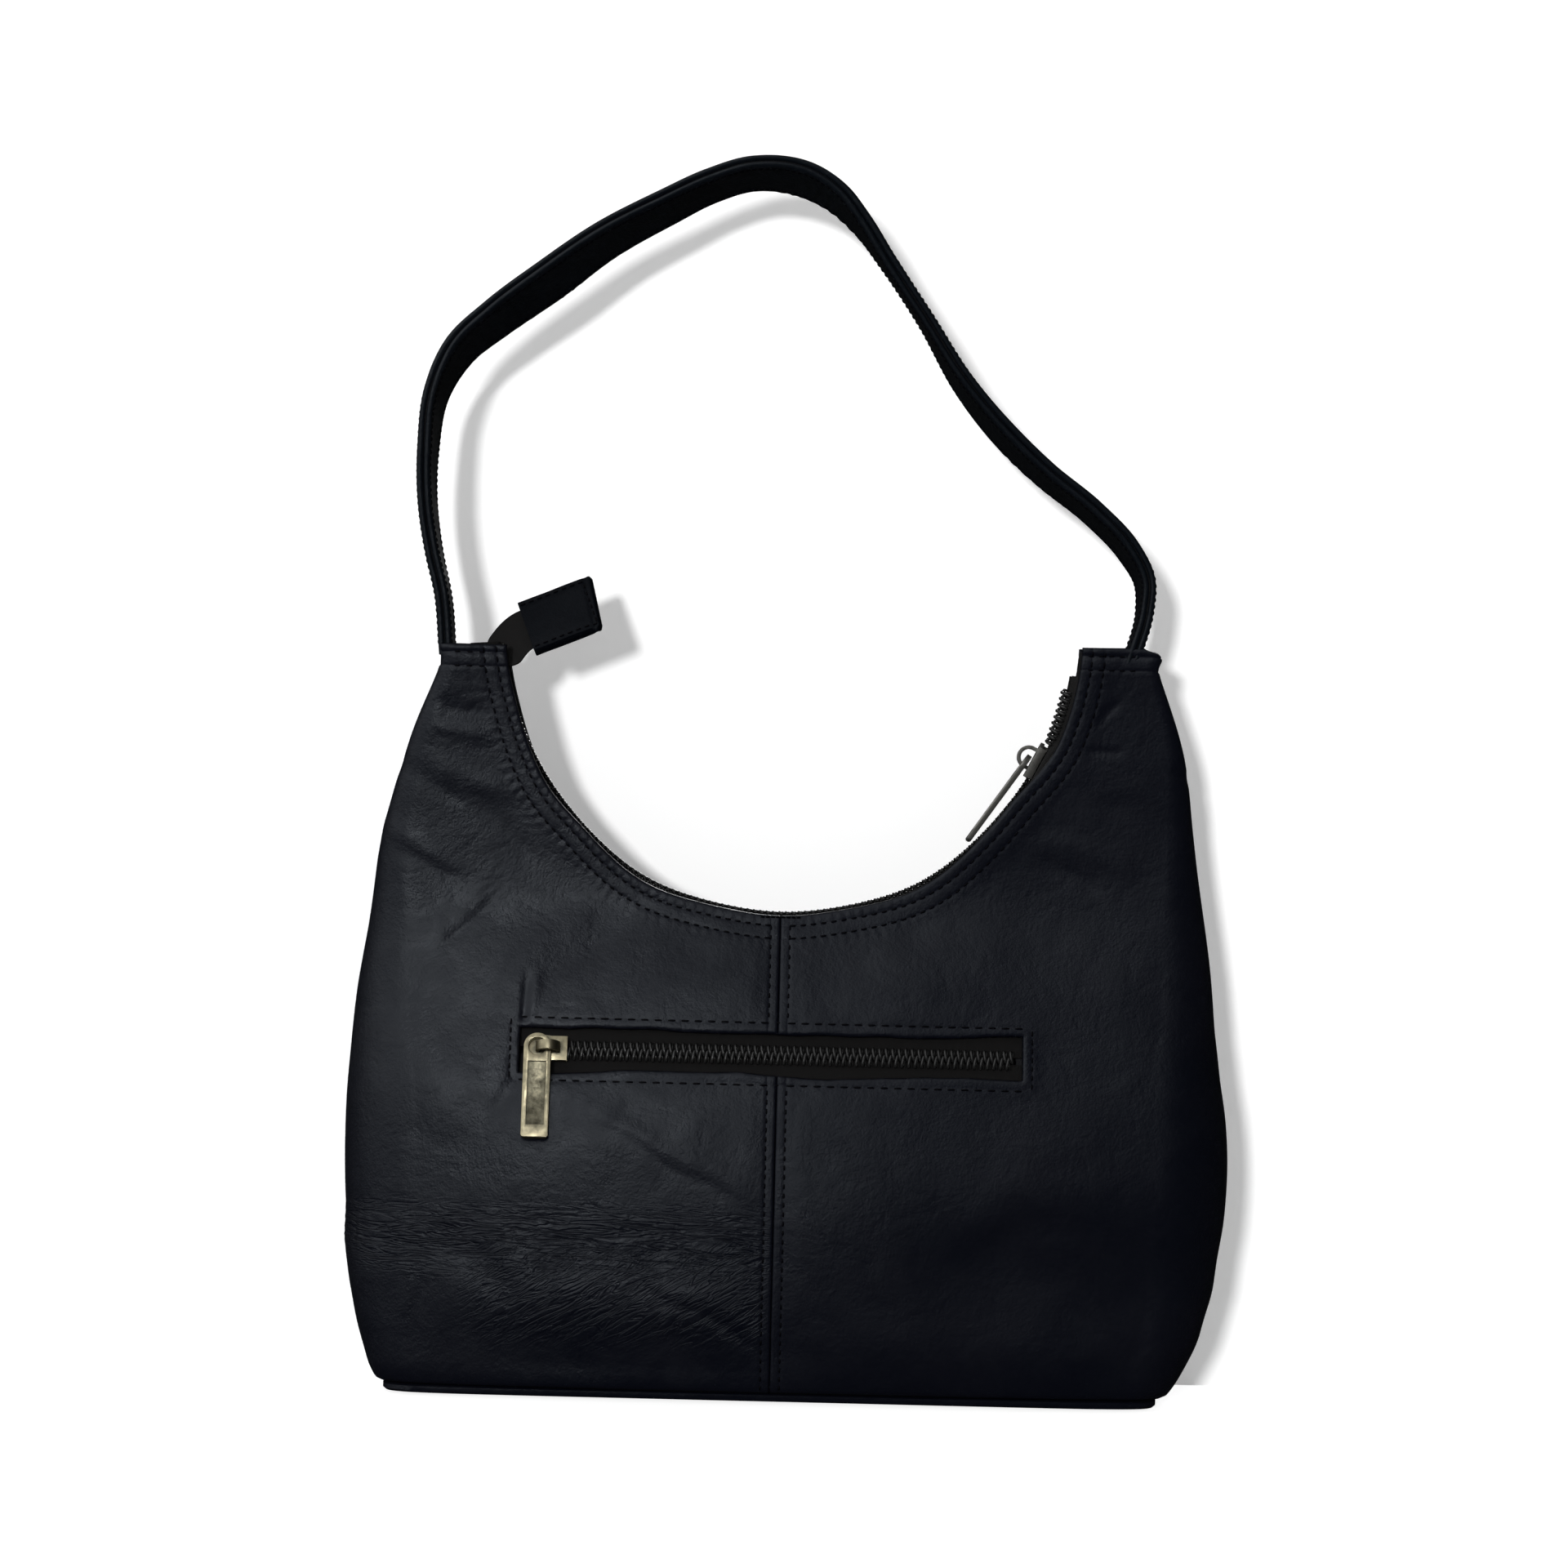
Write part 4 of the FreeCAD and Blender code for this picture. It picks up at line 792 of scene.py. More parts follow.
def cut_window(piece):
    """Cuts the pocket's window and adds fine lines round it for the turned edge."""
    edit(piece)
    bpy.ops.mesh.select_mode(type="FACE")
    bpy.ops.object.mode_set(mode="OBJECT")
    reach = 7.0
    inside = -100

    def pick(low, high):
        centres = np.zeros(len(piece.data.polygons) * 3)
        piece.data.polygons.foreach_get("center", centres)
        distance = window_distance(centres[0::3] / MM, centres[2::3] / MM)
        piece.data.polygons.foreach_set("select", (distance > low) & (distance < high))

    cuts = []
    for step in (0, 0.5, 1.0, 1.6, 2.3, 2.7, 3.1, 3.5, 4.1, 5.0):
        cuts += [((0, 0, WINDOW_LOW[1] - step), (0, 0, 1)),
                 ((0, 0, WINDOW_HIGH[1] + step), (0, 0, 1)),
                 ((WINDOW_LOW[0] - step, 0, 0), (1, 0, 0)),
                 ((WINDOW_HIGH[0] + step, 0, 0), (1, 0, 0))]
    for point, direction in cuts:
        pick(inside, reach)
        bpy.ops.object.mode_set(mode="EDIT")
        bpy.ops.mesh.bisect(plane_co=Vector(point) * MM, plane_no=direction)
        bpy.ops.object.mode_set(mode="OBJECT")
    pick(inside, 0)
    bpy.ops.object.mode_set(mode="EDIT")
    bpy.ops.mesh.delete(type="FACE")
    bpy.ops.object.mode_set(mode="OBJECT")


def leather_panel(name, side, front):
    """One of the four sewn leather panels with its folds, seams and turned edges."""
    domain = panel_domain(side, 1.27 if front and side < 0 else 1.0)
    points = skin_point(domain[..., 0], domain[..., 1], side)
    to_side = girth_at(domain[..., 1], side) - domain[..., 0]
    if (side < 0) == front:
        points, to_side = points[:, ::-1], to_side[:, ::-1]
    if not front:
        points[..., 1] *= -1
    piece = sheet_of(name, points)
    attribute = piece.data.attributes.new("to_side", "FLOAT", "POINT")
    attribute.data.foreach_set("value", to_side.ravel().astype(np.float32))
    if front:
        cut_window(piece)
    co = coordinates(piece)
    gap = np.zeros(len(co), np.float32)
    piece.data.attributes["to_side"].data.foreach_get("value", gap)
    x, z = co[:, 0] / MM, co[:, 2] / MM
    relief = leather_relief(x, z, gap.astype(float), front)
    if front:
        lip = np.exp(-(np.maximum(window_distance(x, z), 0) / 5.0) ** 2)
        level = np.where(z > POCKET_MIDDLE[2], 0.0, 40.0)
        wander = 0.9 * soft_noise(x, level, 30, 15) + 0.3 * soft_noise(x, level, 9, 16)
        co[:, 2] += lip * wander * MM
    place_vertices(piece, co + normals(piece) * relief[:, None] * MM)
    piece.data.attributes.remove(piece.data.attributes["to_side"])
    modify(piece, "SOLIDIFY", thickness=LEATHER_THICKNESS * MM, offset=-1)
    smooth(piece)
    return piece


panels = {}
for side_name, side in (("left", -1), ("right", 1)):
    for face_name, front in (("front", True), ("back", False)):
        panel = leather_panel(f"{face_name}_leather_{side_name}", side, front)
        panels[face_name, side] = panel
        finish_piece(panel, "bag", creased_leather if front and side < 0 else black_leather,
                     "outer_leather", f"{face_name}_panel_{side_name}")

# ---------------------------------------------------------------- base


def base_leather():
    """The base: a rounded slab whose edge shows as a thin line below the panels."""
    turns = np.linspace(0, 2 * math.pi, 128, endpoint=False)
    x, y = superellipse(turns, *BASE_HALF, 0.22, 0.22)
    rings = []
    for inset, z in ((3.0, 0.0), (0.8, 0.15), (0.0, 0.9), (0.0, 2.2), (0.9, 2.9), (3.0, 3.1)):
        rings.append(np.stack([x * (1 - inset / BASE_HALF[0]), y * (1 - inset / BASE_HALF[1]),
                               np.full_like(x, z)], 1))
    piece = tube_of("base_leather", rings)
    smooth(piece, 50)
    return piece


finish_piece(base_leather(), "bag", black_leather, "outer_leather", "base_panel")

# ---------------------------------------------------------------- zip coils and tapes


def coil_loop():
    """One turn of the coil: root at the outer edge, tip past the middle of the chain."""
    path = np.array([(0.0, 2.9, 0.05), (0.0, 2.75, 0.52), (0.2, 1.5, 0.66), (0.45, 0.3, 0.66),
                     (0.62, -0.45, 0.60), (0.70, -0.85, 0.35), (0.66, -0.5, 0.05),
                     (0.85, 1.2, 0.0), (1.02, 2.8, 0.0)])
    radii = [0.34, 0.50, 0.58, 0.56, 0.54, 0.46, 0.36, 0.30, 0.28]
    path[:, 1] *= 1.06
    rings = []
    for number, (point, radius) in enumerate(zip(path, radii)):
        ahead = path[min(number + 1, len(path) - 1)] - path[max(number - 1, 0)]
        ahead = ahead / np.linalg.norm(ahead)
        side = np.cross(ahead, (1, 0, 0.01))
        side = side / np.linalg.norm(side)
        up = np.cross(side, ahead)
        turns = np.linspace(0, 2 * math.pi, 6, endpoint=False)
        rings.append([point + radius * (math.cos(t) * side + math.sin(t) * up) for t in turns])
    piece = tube_of("coil_loop", rings)
    smooth(piece)
    return piece


def mouth_frame(angle, radius=CHAIN_RADIUS):
    """Chain place on the mouth: x towards the right ear, z towards the mouth's centre."""
    turn = math.radians(angle)
    point = Vector((math.sin(turn) * radius, 0, MOUTH_CENTRE - math.cos(turn) * radius)) * MM
    return frame_at(point, (math.cos(turn), 0, math.sin(turn)),
                    (-math.sin(turn), 0, math.cos(turn)))


def coil_piece(name, frames, sign):
    """Coil loops at the given frames; the other side's loops are mirrored."""
    pattern = coil_loop()
    if sign < 0:
        pattern.data.transform(Matrix.Scale(-1, 4, (0, 1, 0)))
        pattern.data.flip_normals()
    return copies(name, pattern, frames)


step = math.degrees(ZIP_PITCH / CHAIN_RADIUS)
closed_count = int((SLIDER_ANGLE - 2 - CHAIN_LEFT_END) / step)
open_from, open_to = SLIDER_ANGLE + 4.2, CHAIN_RIGHT_END


def opened_share(angle):
    """How far the two tapes have parted beyond the slider."""
    return ease(np.asarray(angle, float), SLIDER_ANGLE + 1, SLIDER_ANGLE + 7)


for face_name, sign in (("front", -1), ("back", 1)):
    shift = 0.5 if sign > 0 else 0.0
    stations = [CHAIN_LEFT_END + step * (number + shift) for number in range(closed_count)]
    places = [mouth_frame(angle, float(chain_radius(angle))) for angle in stations]
    count = int((open_to - open_from) / step)
    for number in range(count):
        angle = open_from + step * (number + shift)
        parted = float(opened_share(angle))
        if sign < 0:
            lean = Matrix.Rotation(math.radians(48 * parted), 4, "X")
            place = mouth_frame(angle, CHAIN_RADIUS - 0.7 * parted) @ lean
            places.append(Matrix.Translation((0, -2.6 * MM * parted, 0)) @ place)
        else:
            places.append(mouth_frame(angle) @ Matrix.Translation((0, 2.6 * MM * parted, 0)))
    finish_piece(coil_piece(f"main_coil_{face_name}", places, sign), "bag", coil_nylon,
                 "zip_coil", f"main_zip_coil_{face_name}")

pocket_turn = Matrix.Rotation(math.radians(90 - POCKET_TILT), 4, "X")
pocket_place = Matrix.Translation(Vector(POCKET_MIDDLE) * MM) @ pocket_turn
for edge_name, sign in (("upper", 1), ("lower", -1)):
    shift = 0.5 if sign > 0 else 0.0
    count = int((WINDOW_HIGH[0] - 1.5 - POCKET_SLIDER) / ZIP_PITCH)
    places = [pocket_place @ Matrix.Translation(
        ((POCKET_SLIDER + ZIP_PITCH * (number + shift)) * MM, 0, 0)) for number in range(count)]
    finish_piece(coil_piece(f"pocket_coil_{edge_name}", places, sign), "bag", coil_nylon,
                 "zip_coil", f"pocket_zip_coil_{edge_name}")


def main_tape(name, sign):
    """Tape sewn inside the mouth: flat beside the coil, then turned down behind the leather."""
    angles = np.linspace(CHAIN_LEFT_END - 0.6, CHAIN_RIGHT_END + 1.5, 180)
    closed = np.array([(1.6, 0.6), (2.6, 0.62), (4.0, 0.6), (5.6, 0.65), (6.5, 1.0), (7.0, 2.4),
                       (7.4, 5.0), (7.8, 7.5), (8.0, 9.6)])
    raised = np.array([(3.3, 0.7), (4.0, 1.5), (4.8, 2.4), (5.6, 3.3), (6.2, 4.2), (6.7, 5.2),
                       (7.2, 6.4), (7.7, 8.0), (8.0, 9.6)])
    aside = closed + np.array([(2.6, 0), (2.6, 0), (2.2, 0), (1.2, 0), (0.6, 0.2), (0.3, 0), (0, 0),
                               (0, 0), (0, 0)])
    rows = []
    for angle in angles:
        turn = math.radians(angle)
        parted = float(opened_share(angle))
        profile = closed * (1 - parted) + (raised if sign < 0 else aside) * parted
        radius = float(chain_radius(angle)) + profile[:, 1]
        rows.append(np.stack([math.sin(turn) * radius, sign * profile[:, 0],
                              MOUTH_CENTRE - math.cos(turn) * radius], 1))
    points = np.array(rows)
    if sign > 0:
        points = points[:, ::-1]
    piece = sheet_of(name, points.transpose(1, 0, 2))
    modify(piece, "SOLIDIFY", thickness=0.5 * MM, offset=0)
    smooth(piece, 60)
    return piece


for face_name, sign in (("front", -1), ("back", 1)):
    finish_piece(main_tape(f"main_tape_{face_name}", sign), "bag", zip_cloth, "zip_tape",
                 f"main_zip_tape_{face_name}")


def pocket_tape(name, sign):
    """Tape behind the pocket's window, a little slack."""
    x = np.linspace(-82.3, 78.3, 150)
    y = np.linspace(1.2, 13.4, 12)
    grid_x, grid_y = np.meshgrid(x, y)
    level = -0.6 + 0.12 * soft_noise(grid_x, grid_y * 3, 11, 3)
    local = np.stack([grid_x, sign * grid_y, level], -1)
    turn = np.array(pocket_turn.to_3x3())
    points = local @ turn.T + np.array(POCKET_MIDDLE)
    if sign < 0:
        points = points[:, ::-1]
    piece = sheet_of(name, points)
    modify(piece, "SOLIDIFY", thickness=0.45 * MM, offset=0)
    smooth(piece, 60)
    return piece


for edge_name, sign in (("upper", 1), ("lower", -1)):
    finish_piece(pocket_tape(f"pocket_tape_{edge_name}", sign), "bag", zip_cloth, "zip_tape",
                 f"pocket_zip_tape_{edge_name}")

# ---------------------------------------------------------------- facings, lining, pocket cloth


def mouth_facing(name, sign):
    """Leather strip inside the mouth."""
    angles = np.linspace(-86.6, 86.6, 150)
    offsets = np.array([0.2, 0.8, 2.0, 4.0, 7.0, 10.5, 13.8])
    rows = []
    for offset in offsets:
        radius = mouth_edge(angles) + offset
        x = np.sin(np.radians(angles)) * radius
        z = MOUTH_CENTRE - np.cos(np.radians(angles)) * radius
        z = np.minimum(z, ear_top(x) - 0.4)
        point = skin_point(np.abs(x), z, 1, 1.6)
        point[..., 0] = x
        rows.append(point)
    points = np.array(rows)
    points[..., 1] *= -sign
    if sign > 0:
        points = points[:, ::-1]
    piece = sheet_of(name, points[::-1])
    modify(piece, "SOLIDIFY", thickness=0.8 * MM, offset=-1)
    smooth(piece, 60)
    return piece


for face_name, sign in (("front", -1), ("back", 1)):
    finish_piece(mouth_facing(f"mouth_facing_{face_name}", sign), "bag", edge_leather,
                 "outer_leather", f"{face_name}_mouth_facing")


LINING_RADIUS = 104.2
LINING_INSET = 7.8


def lining(name, front):
    """Cloth inside the leather, sewn to the facing."""
    heights = np.linspace(3.0, 203.5, 84)
    halves = []
    for side in (-1, 1):
        girth = girth_at(heights, side, LINING_INSET)
        inner = np.sqrt(np.clip(LINING_RADIUS ** 2 - (MOUTH_CENTRE - heights) ** 2, 0, None))
        inner = np.where(heights > MOUTH_CENTRE - LINING_RADIUS, inner, 0)
        columns = np.linspace(0, 1, 56)[None, :] ** 1.2
        along = inner[:, None] + columns * (girth - inner)[:, None]
        z = np.repeat(heights[:, None], 56, axis=1)
        point = skin_point(along, z, side, LINING_INSET)
        point[..., 1] += 0.5 * soft_noise(along, z, 16, 90 + side) * columns
        if not front:
            point[..., 1] *= -1
        if (side < 0) == front:
            point = point[:, ::-1]
        halves.append(sheet_of(name, point))
    piece = joined(name, halves)
    edit(piece)
    bpy.ops.mesh.remove_doubles(threshold=5e-5)
    done()
    modify(piece, "SOLIDIFY", thickness=0.6 * MM, offset=-1)
    smooth(piece, 60)
    return piece


for face_name, front in (("front", True), ("back", False)):
    finish_piece(lining(f"lining_cloth_{face_name}", front), "bag", lining_cloth, "lining_cloth",
                 f"lining_{face_name}")


def pocket_cloth(name, inset, top):
    """One of the two cloths of the pocket, from its floor up to the given height."""
    x = np.linspace(-84.5, 80.5, 60)
    z = np.linspace(20.2, top, 40)
    grid_x, grid_z = np.meshgrid(x, z)
    points = skin_point(np.abs(grid_x), grid_z, 1, inset)
    points[..., 0] = grid_x
    piece = sheet_of(name, points)
    modify(piece, "SOLIDIFY", thickness=0.4 * MM, offset=-1)
    smooth(piece, 60)
    return piece


pocket_front = finish_piece(pocket_cloth("pocket_cloth_front", 5.45, 100.0), "bag", lining_cloth,
                            "lining_cloth", "pocket_bag_front")
pocket_back = finish_piece(pocket_cloth("pocket_cloth_back", 6.35, 121.0), "bag", lining_cloth,
                           "lining_cloth", "pocket_bag_back")

# ---------------------------------------------------------------- metal


def softened(name, source, width):
    """A merged copy of a hard part with its edges rounded over."""
    deselect()
    piece = nodes[source].copy()
    piece.data = nodes[source].data.copy()
    piece.name = name
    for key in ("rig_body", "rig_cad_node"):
        if key in piece:
            del piece[key]
    piece.parent = None
    piece.matrix_world = Matrix.Identity(4)
    bpy.context.scene.collection.objects.link(piece)
    edit(piece)
    bpy.ops.mesh.remove_doubles(threshold=2e-6)
    bpy.ops.mesh.dissolve_limited(angle_limit=math.radians(3))
    done()
    modify(piece, "BEVEL", width=width * MM, segments=3, limit_method="ANGLE",
           angle_limit=math.radians(35), use_clamp_overlap=True)
    smooth(piece, 40)
    return piece


for zip_name, metal, slot in (("pocket", brass, "antique_brass"),
                              ("main", nickel, "antique_nickel")):
    for part, source, width in (("slider", "slider_body", 0.28), ("pull", "pull_tab", 0.22)):
        name, source = f"{zip_name}_{part}", f"{zip_name}_{source}"
        finish_piece(softened(name, source, width), name, metal, slot, source)

# ---------------------------------------------------------------- strap

# Sideways, up, and how far the strap is turned about its own length in degrees.
STRAP_ROUTE = np.array([
    (-108.0, 231.5, 0), (-109.9, 250.5, 0), (-113.1, 264.0, 1), (-115.5, 279.0, 2),
    (-115.8, 297.0, 4), (-113.5, 315.0, 8), (-106.2, 329.0, 16), (-95.0, 339.1, 21),
    (-79.0, 351.1, 24), (-60.0, 365.3, 20), (-42.1, 375.4, 17), (-27.4, 382.9, 15),
    (-14.5, 387.0, 15), (3.3, 385.1, 16), (12.4, 380.0, 12), (19.7, 372.6, 6), (29.3, 359.4, 1),
    (41.8, 341.2, 1), (54.0, 321.7, 6), (66.4, 306.8, 9), (80.5, 293.6, 9), (96.3, 281.5, 8),
    (108.0, 269.6, 7), (113.2, 260.2, 4), (113.4, 250.5, 1), (109.0, 233.5, 0),
])


def strap_line(count):
    """Even stations on a smooth line through the route: place and turn."""
    route = STRAP_ROUTE
    gaps = np.hypot(np.diff(route[:, 0]), np.diff(route[:, 1]))
    knots = np.concatenate([[0], np.cumsum(gaps)])
    length = np.linspace(0, knots[-1], count)
    return smooth_through(route, knots, length), length


def strap_frames(count):
    """Centres, directions across and out of the strap, and lengths along it."""
    value, length = strap_line(count)
    along = np.gradient(value[:, :2], length, axis=0)
    along = along / np.linalg.norm(along, axis=1)[:, None]
    centre = np.stack([value[:, 0], np.zeros(count), value[:, 1]], 1)
    outward = np.stack([-along[:, 1], np.zeros(count), along[:, 0]], 1)
    turn = np.radians(np.clip(value[:, 2], 0, None))[:, None]
    cross = np.array([0, 1, 0])
    across = cross * np.cos(turn) - outward * np.sin(turn)
    normal = outward * np.cos(turn) + cross * np.sin(turn)
    return centre, across, normal, length


def strap_layer(name, low, high, half, wrinkle):
    """One leather strip with rounded folded edges; its inner face gathers where it bends."""
    centre, across, normal, length = strap_frames(STRAP_STATIONS)
    middle, thick = (low + high) / 2, (high - low) / 2
    corners = []
    for turn in np.linspace(-90, 90, 7):
        corners.append((half - thick + thick * math.cos(math.radians(turn)),
                        thick * math.sin(math.radians(turn))))
    flat = np.linspace(1, -1, 11)[1:-1] * (half - thick)
    top = [(v, thick) for v in flat]
    other = [(-a, b) for a, b in reversed(corners)]
    below = [(v, -thick) for v in -flat]
    ring = np.array(corners + top + other + below)
    rings = []
    for number in range(len(centre)):
        s = length[number]
        row = []
        for place, level in ring:
            edge = abs(place) / half
            lift = 0.0
            if abs(level) > thick * 0.9:
                lift = 0.12 * float(soft_noise(np.array(s), np.array(place), 17, 6))
                if edge > 0.8:
                    lift -= 0.10
            row.append(centre[number] + across[number] * place
                       + normal[number] * (middle + level + math.copysign(lift, level)))
        rings.append(row)
    rings = np.array(rings)
    if wrinkle:
        places = np.array([r[0] for r in ring])
        levels = np.array([r[1] for r in ring])
        s = np.repeat(length[:, None], len(ring), 1)
        p = np.repeat(places[None, :], len(length), 0)
        total = length[-1]
        bend = (bump(s, 0.305 * total, 22) + bump(s, 0.56 * total, 20)
                + 0.5 * bump(s, 0.80 * total, 25))
        ripple = np.sin(s * 2 * math.pi / 4.3 + 2.4 * soft_noise(s, p * 1.5, 7, 4))
        ripple = ripple * np.clip(0.6 + soft_noise(s, p, 9, 14), 0, 1)
        inner = (levels < -thick * 0.9)[None, :]
        offset = 0.30 * bend * ripple * inner
        rings = rings + normal[:, None, :] * offset[..., None]
    piece = tube_of(name, rings)
    smooth(piece, 70)
    return piece


HALF_STRAP = 11.0
STRAP_STATIONS = 420
for name, low, high, half, wrinkle, material, slot, stood_for in (
        ("strap_leather_outer", 0.2, 2.0, HALF_STRAP, False, strap_leather, "strap_leather",
         "strap_outer_strip"),
        ("strap_leather_inner", -2.0, -0.2, HALF_STRAP, True, strap_leather, "strap_leather",
         "strap_inner_strip"),
        ("strap_filler", -0.35, 0.35, HALF_STRAP - 1.0, False, edge_leather, "strap_core",
         "strap_core")):
    piece = strap_layer(name, low, high, half, wrinkle)
    dress(piece, material, slot, stood_for)
    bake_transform(piece)

for side_name, side in (("left", -1), ("right", 1)):
    levels = np.linspace(214.5, float(ear_top(side)) - 2, 12)
    rings = []
    for z in levels:
        turns = np.linspace(0, 2 * math.pi, 20, endpoint=False)
        x, y = superellipse(turns, 2.15, 10.4, 0.5, 0.25)
        rings.append(np.stack([side * 107.6 + x, y, np.full_like(x, z)], 1))
    tail = tube_of(f"strap_end_{side_name}", rings)
    smooth(tail, 60)
    finish_piece(tail, "bag", strap_leather, "strap_leather", f"strap_tail_{side_name}")

# ---------------------------------------------------------------- tail of the main zip

TAIL_START = Vector((-92.6, 0, 229.0))
TAB_NEAR = Vector((-83.0, 0, 240.2))
TAB_TWIST = 54
TAB_TURN = (Matrix.Rotation(math.radians(-22.4), 4, "Y")
            @ Matrix.Rotation(math.radians(TAB_TWIST), 4, "X"))
TAIL_COIL_START, TAIL_COIL_END = 12, -6


def tail_path(count):
    """Places along the tail: point, direction across and direction out of the tape."""
    ahead = TAB_TURN.to_3x3() @ Vector((1, 0, 0))
    poles = [TAIL_START, TAIL_START + Vector((2.8, 0, 4.4)), TAB_NEAR - ahead * 4.6, TAB_NEAR]
    out = []
    for number in range(count):
        t = number / (count - 1)
        a, b, c, d = ((1 - t) ** 3, 3 * t * (1 - t) ** 2, 3 * t * t * (1 - t), t ** 3)
        point = poles[0] * a + poles[1] * b + poles[2] * c + poles[3] * d
        slope = ((poles[1] - poles[0]) * (1 - t) ** 2 + (poles[2] - poles[1]) * 2 * t * (1 - t)
                 + (poles[3] - poles[2]) * t * t).normalized()
        outward = Vector((-slope.z, 0, slope.x))
        turn = math.radians(TAB_TWIST * float(ease(np.array(t), -0.2, 0.35)))
        across = Vector((0, 1, 0)) * math.cos(turn) + outward * math.sin(turn)
        normal = outward * math.cos(turn) - Vector((0, 1, 0)) * math.sin(turn)
        out.append((point, slope, across, normal))
    point, slope, across, normal = out[-1]
    for number in range(1, 8):
        out.append((point + ahead * 2 * number, ahead, across, normal))
    return out


tail = tail_path(24)
rows = []
for place in np.linspace(-8, 8, 17):
    rows.append([tuple(point + across * place) for point, _, across, _ in tail])
tail_tape = sheet_of("tail_tape", np.array(rows))
modify(tail_tape, "SOLIDIFY", thickness=0.5 * MM, offset=0)
smooth(tail_tape, 60)
dress(tail_tape, zip_cloth, "zip_tape", "zip_tail_tape")
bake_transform(tail_tape)

places = [frame_at((point - normal) * MM, slope, -normal)
          for point, slope, _, normal in tail[TAIL_COIL_START:TAIL_COIL_END]]
tail_coil = joined("tail_coil", [coil_piece(f"tail_coil_{sign}", places, sign) for sign in (1, -1)])
dress(tail_coil, coil_nylon, "zip_coil", "zip_tail_coil")
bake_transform(tail_coil)


def zip_tab():
    """Folded leather tab, puffed in the middle and pressed flat along its sewn edges."""
    long, half, thick = 24.0, 11.0, 1.9
    xs = np.linspace(0, long, 40)
    ring_y = np.concatenate([np.linspace(-half, half, 26), np.linspace(half, -half, 26)[1:-1]])
    upper = np.array([True] * 26 + [False] * 24)
    rings = []
    for x in xs:
        to_end = long - x
        puff = 1 - 0.22 * bump(np.abs(ring_y), half - 2.2, 0.7) - 0.22 * bump(to_end, 2.2, 0.7)
        puff = puff * (1 - edge_roll(half - np.abs(ring_y), 1.6) / 1.7)
        puff = puff * (1 - min(1.0, float(edge_roll(np.array(to_end), 1.6)) / 1.7))
        level = thick * puff + 0.15 * soft_noise(np.full_like(ring_y, x), ring_y, 6, 8)
        z = np.where(upper, level, -level)
        corner = 1.6 * max(0.0, 1 - to_end / 1.6) ** 2
        y = np.clip(ring_y, -half + corner, half - corner)
        rings.append(np.stack([np.full_like(ring_y, x), y, z], 1))
    piece = tube_of("zip_tail_leather", rings)
    co = coordinates(piece)
    co[:, 0] += 0.11 * co[:, 1] * co[:, 0] / (long * MM)
    place_vertices(piece, co)
    piece.data.transform(Matrix.Translation(TAB_NEAR * MM) @ TAB_TURN)
    smooth(piece, 60)
    return piece


zip_tail_leather = zip_tab()
finish_piece(zip_tail_leather, "zip_tail", tab_leather, "outer_leather", "zip_tail_tab")

# ---------------------------------------------------------------- stitching

STITCH_LIFT = 0.06


def stitch_pattern():
    """One thread stitch, sunk at both ends."""
    stations = [(-0.5, 0.10, -0.28), (-0.42, 0.24, -0.05), (-0.22, 0.29, 0.10), (0.0, 0.30, 0.13),
                (0.22, 0.29, 0.10), (0.42, 0.24, -0.05), (0.5, 0.10, -0.28)]
    rings = []
    for x, radius, level in stations:
        turns = np.linspace(0, 2 * math.pi, 6, endpoint=False)
        rings.append([(x, radius * math.cos(t), level + radius * math.sin(t)) for t in turns])
    piece = tube_of("stitch", rings)
    smooth(piece)
    return piece


def surface_of(piece):
    """A piece's faces, ready for finding where a ray meets them."""
    mesh = piece.data
    return BVHTree.FromPolygons([v.co[:] for v in mesh.vertices],
                                [p.vertices[:] for p in mesh.polygons])


def front_hit(trees, x, z, sign):
    """The outermost point of the skin at (x, z) on the front (-1) or back (1)."""
    best = None
    for tree in trees:
        place, normal, _, _ = tree.ray_cast(Vector((x * MM, sign * 0.2, z * MM)),
                                            Vector((0, -sign, 0)))
        if place is not None and (best is None or place.y * sign > best[0].y * sign):
            best = (place, normal)
    return best


def stitch_row(trees, points, pitch, sign, fill=0.62):
    """Places for stitches at an even pitch along a line of (x, z) points."""
    points = np.asarray(points, float)
    gaps = np.hypot(*np.diff(points, axis=0).T)
    length = np.concatenate([[0], np.cumsum(gaps)])
    count = max(int(length[-1] / pitch), 1)
    places = []
    for number in range(count):
        at = (number + 0.5) * length[-1] / count
        hit, one, two = (
            front_hit(trees, np.interp(at + ahead, length, points[:, 0]),
                      np.interp(at + ahead, length, points[:, 1]), sign)
            for ahead in (0, -0.4, 0.4))
        if hit is None or one is None or two is None:
            continue
        along = two[0] - one[0]
        normal = hit[1] if hit[1].y * sign > 0 else -hit[1]
        if along.length < 1e-6:
            continue
        place = frame_at(hit[0] + normal * STITCH_LIFT * MM, along, normal)
        places.append(place @ Matrix.Diagonal((pitch * fill, 1.0, 1.0, 1.0)))
    return places


def arc_points(offset, start, end):
    """Points along the mouth's edge, at an offset outside it, as (x, z)."""
    angles = np.linspace(start, end, 160)
    radius = mouth_edge(angles) + offset
    return np.stack([radius * np.sin(np.radians(angles)),
                     MOUTH_CENTRE - radius * np.cos(np.radians(angles))], 1)


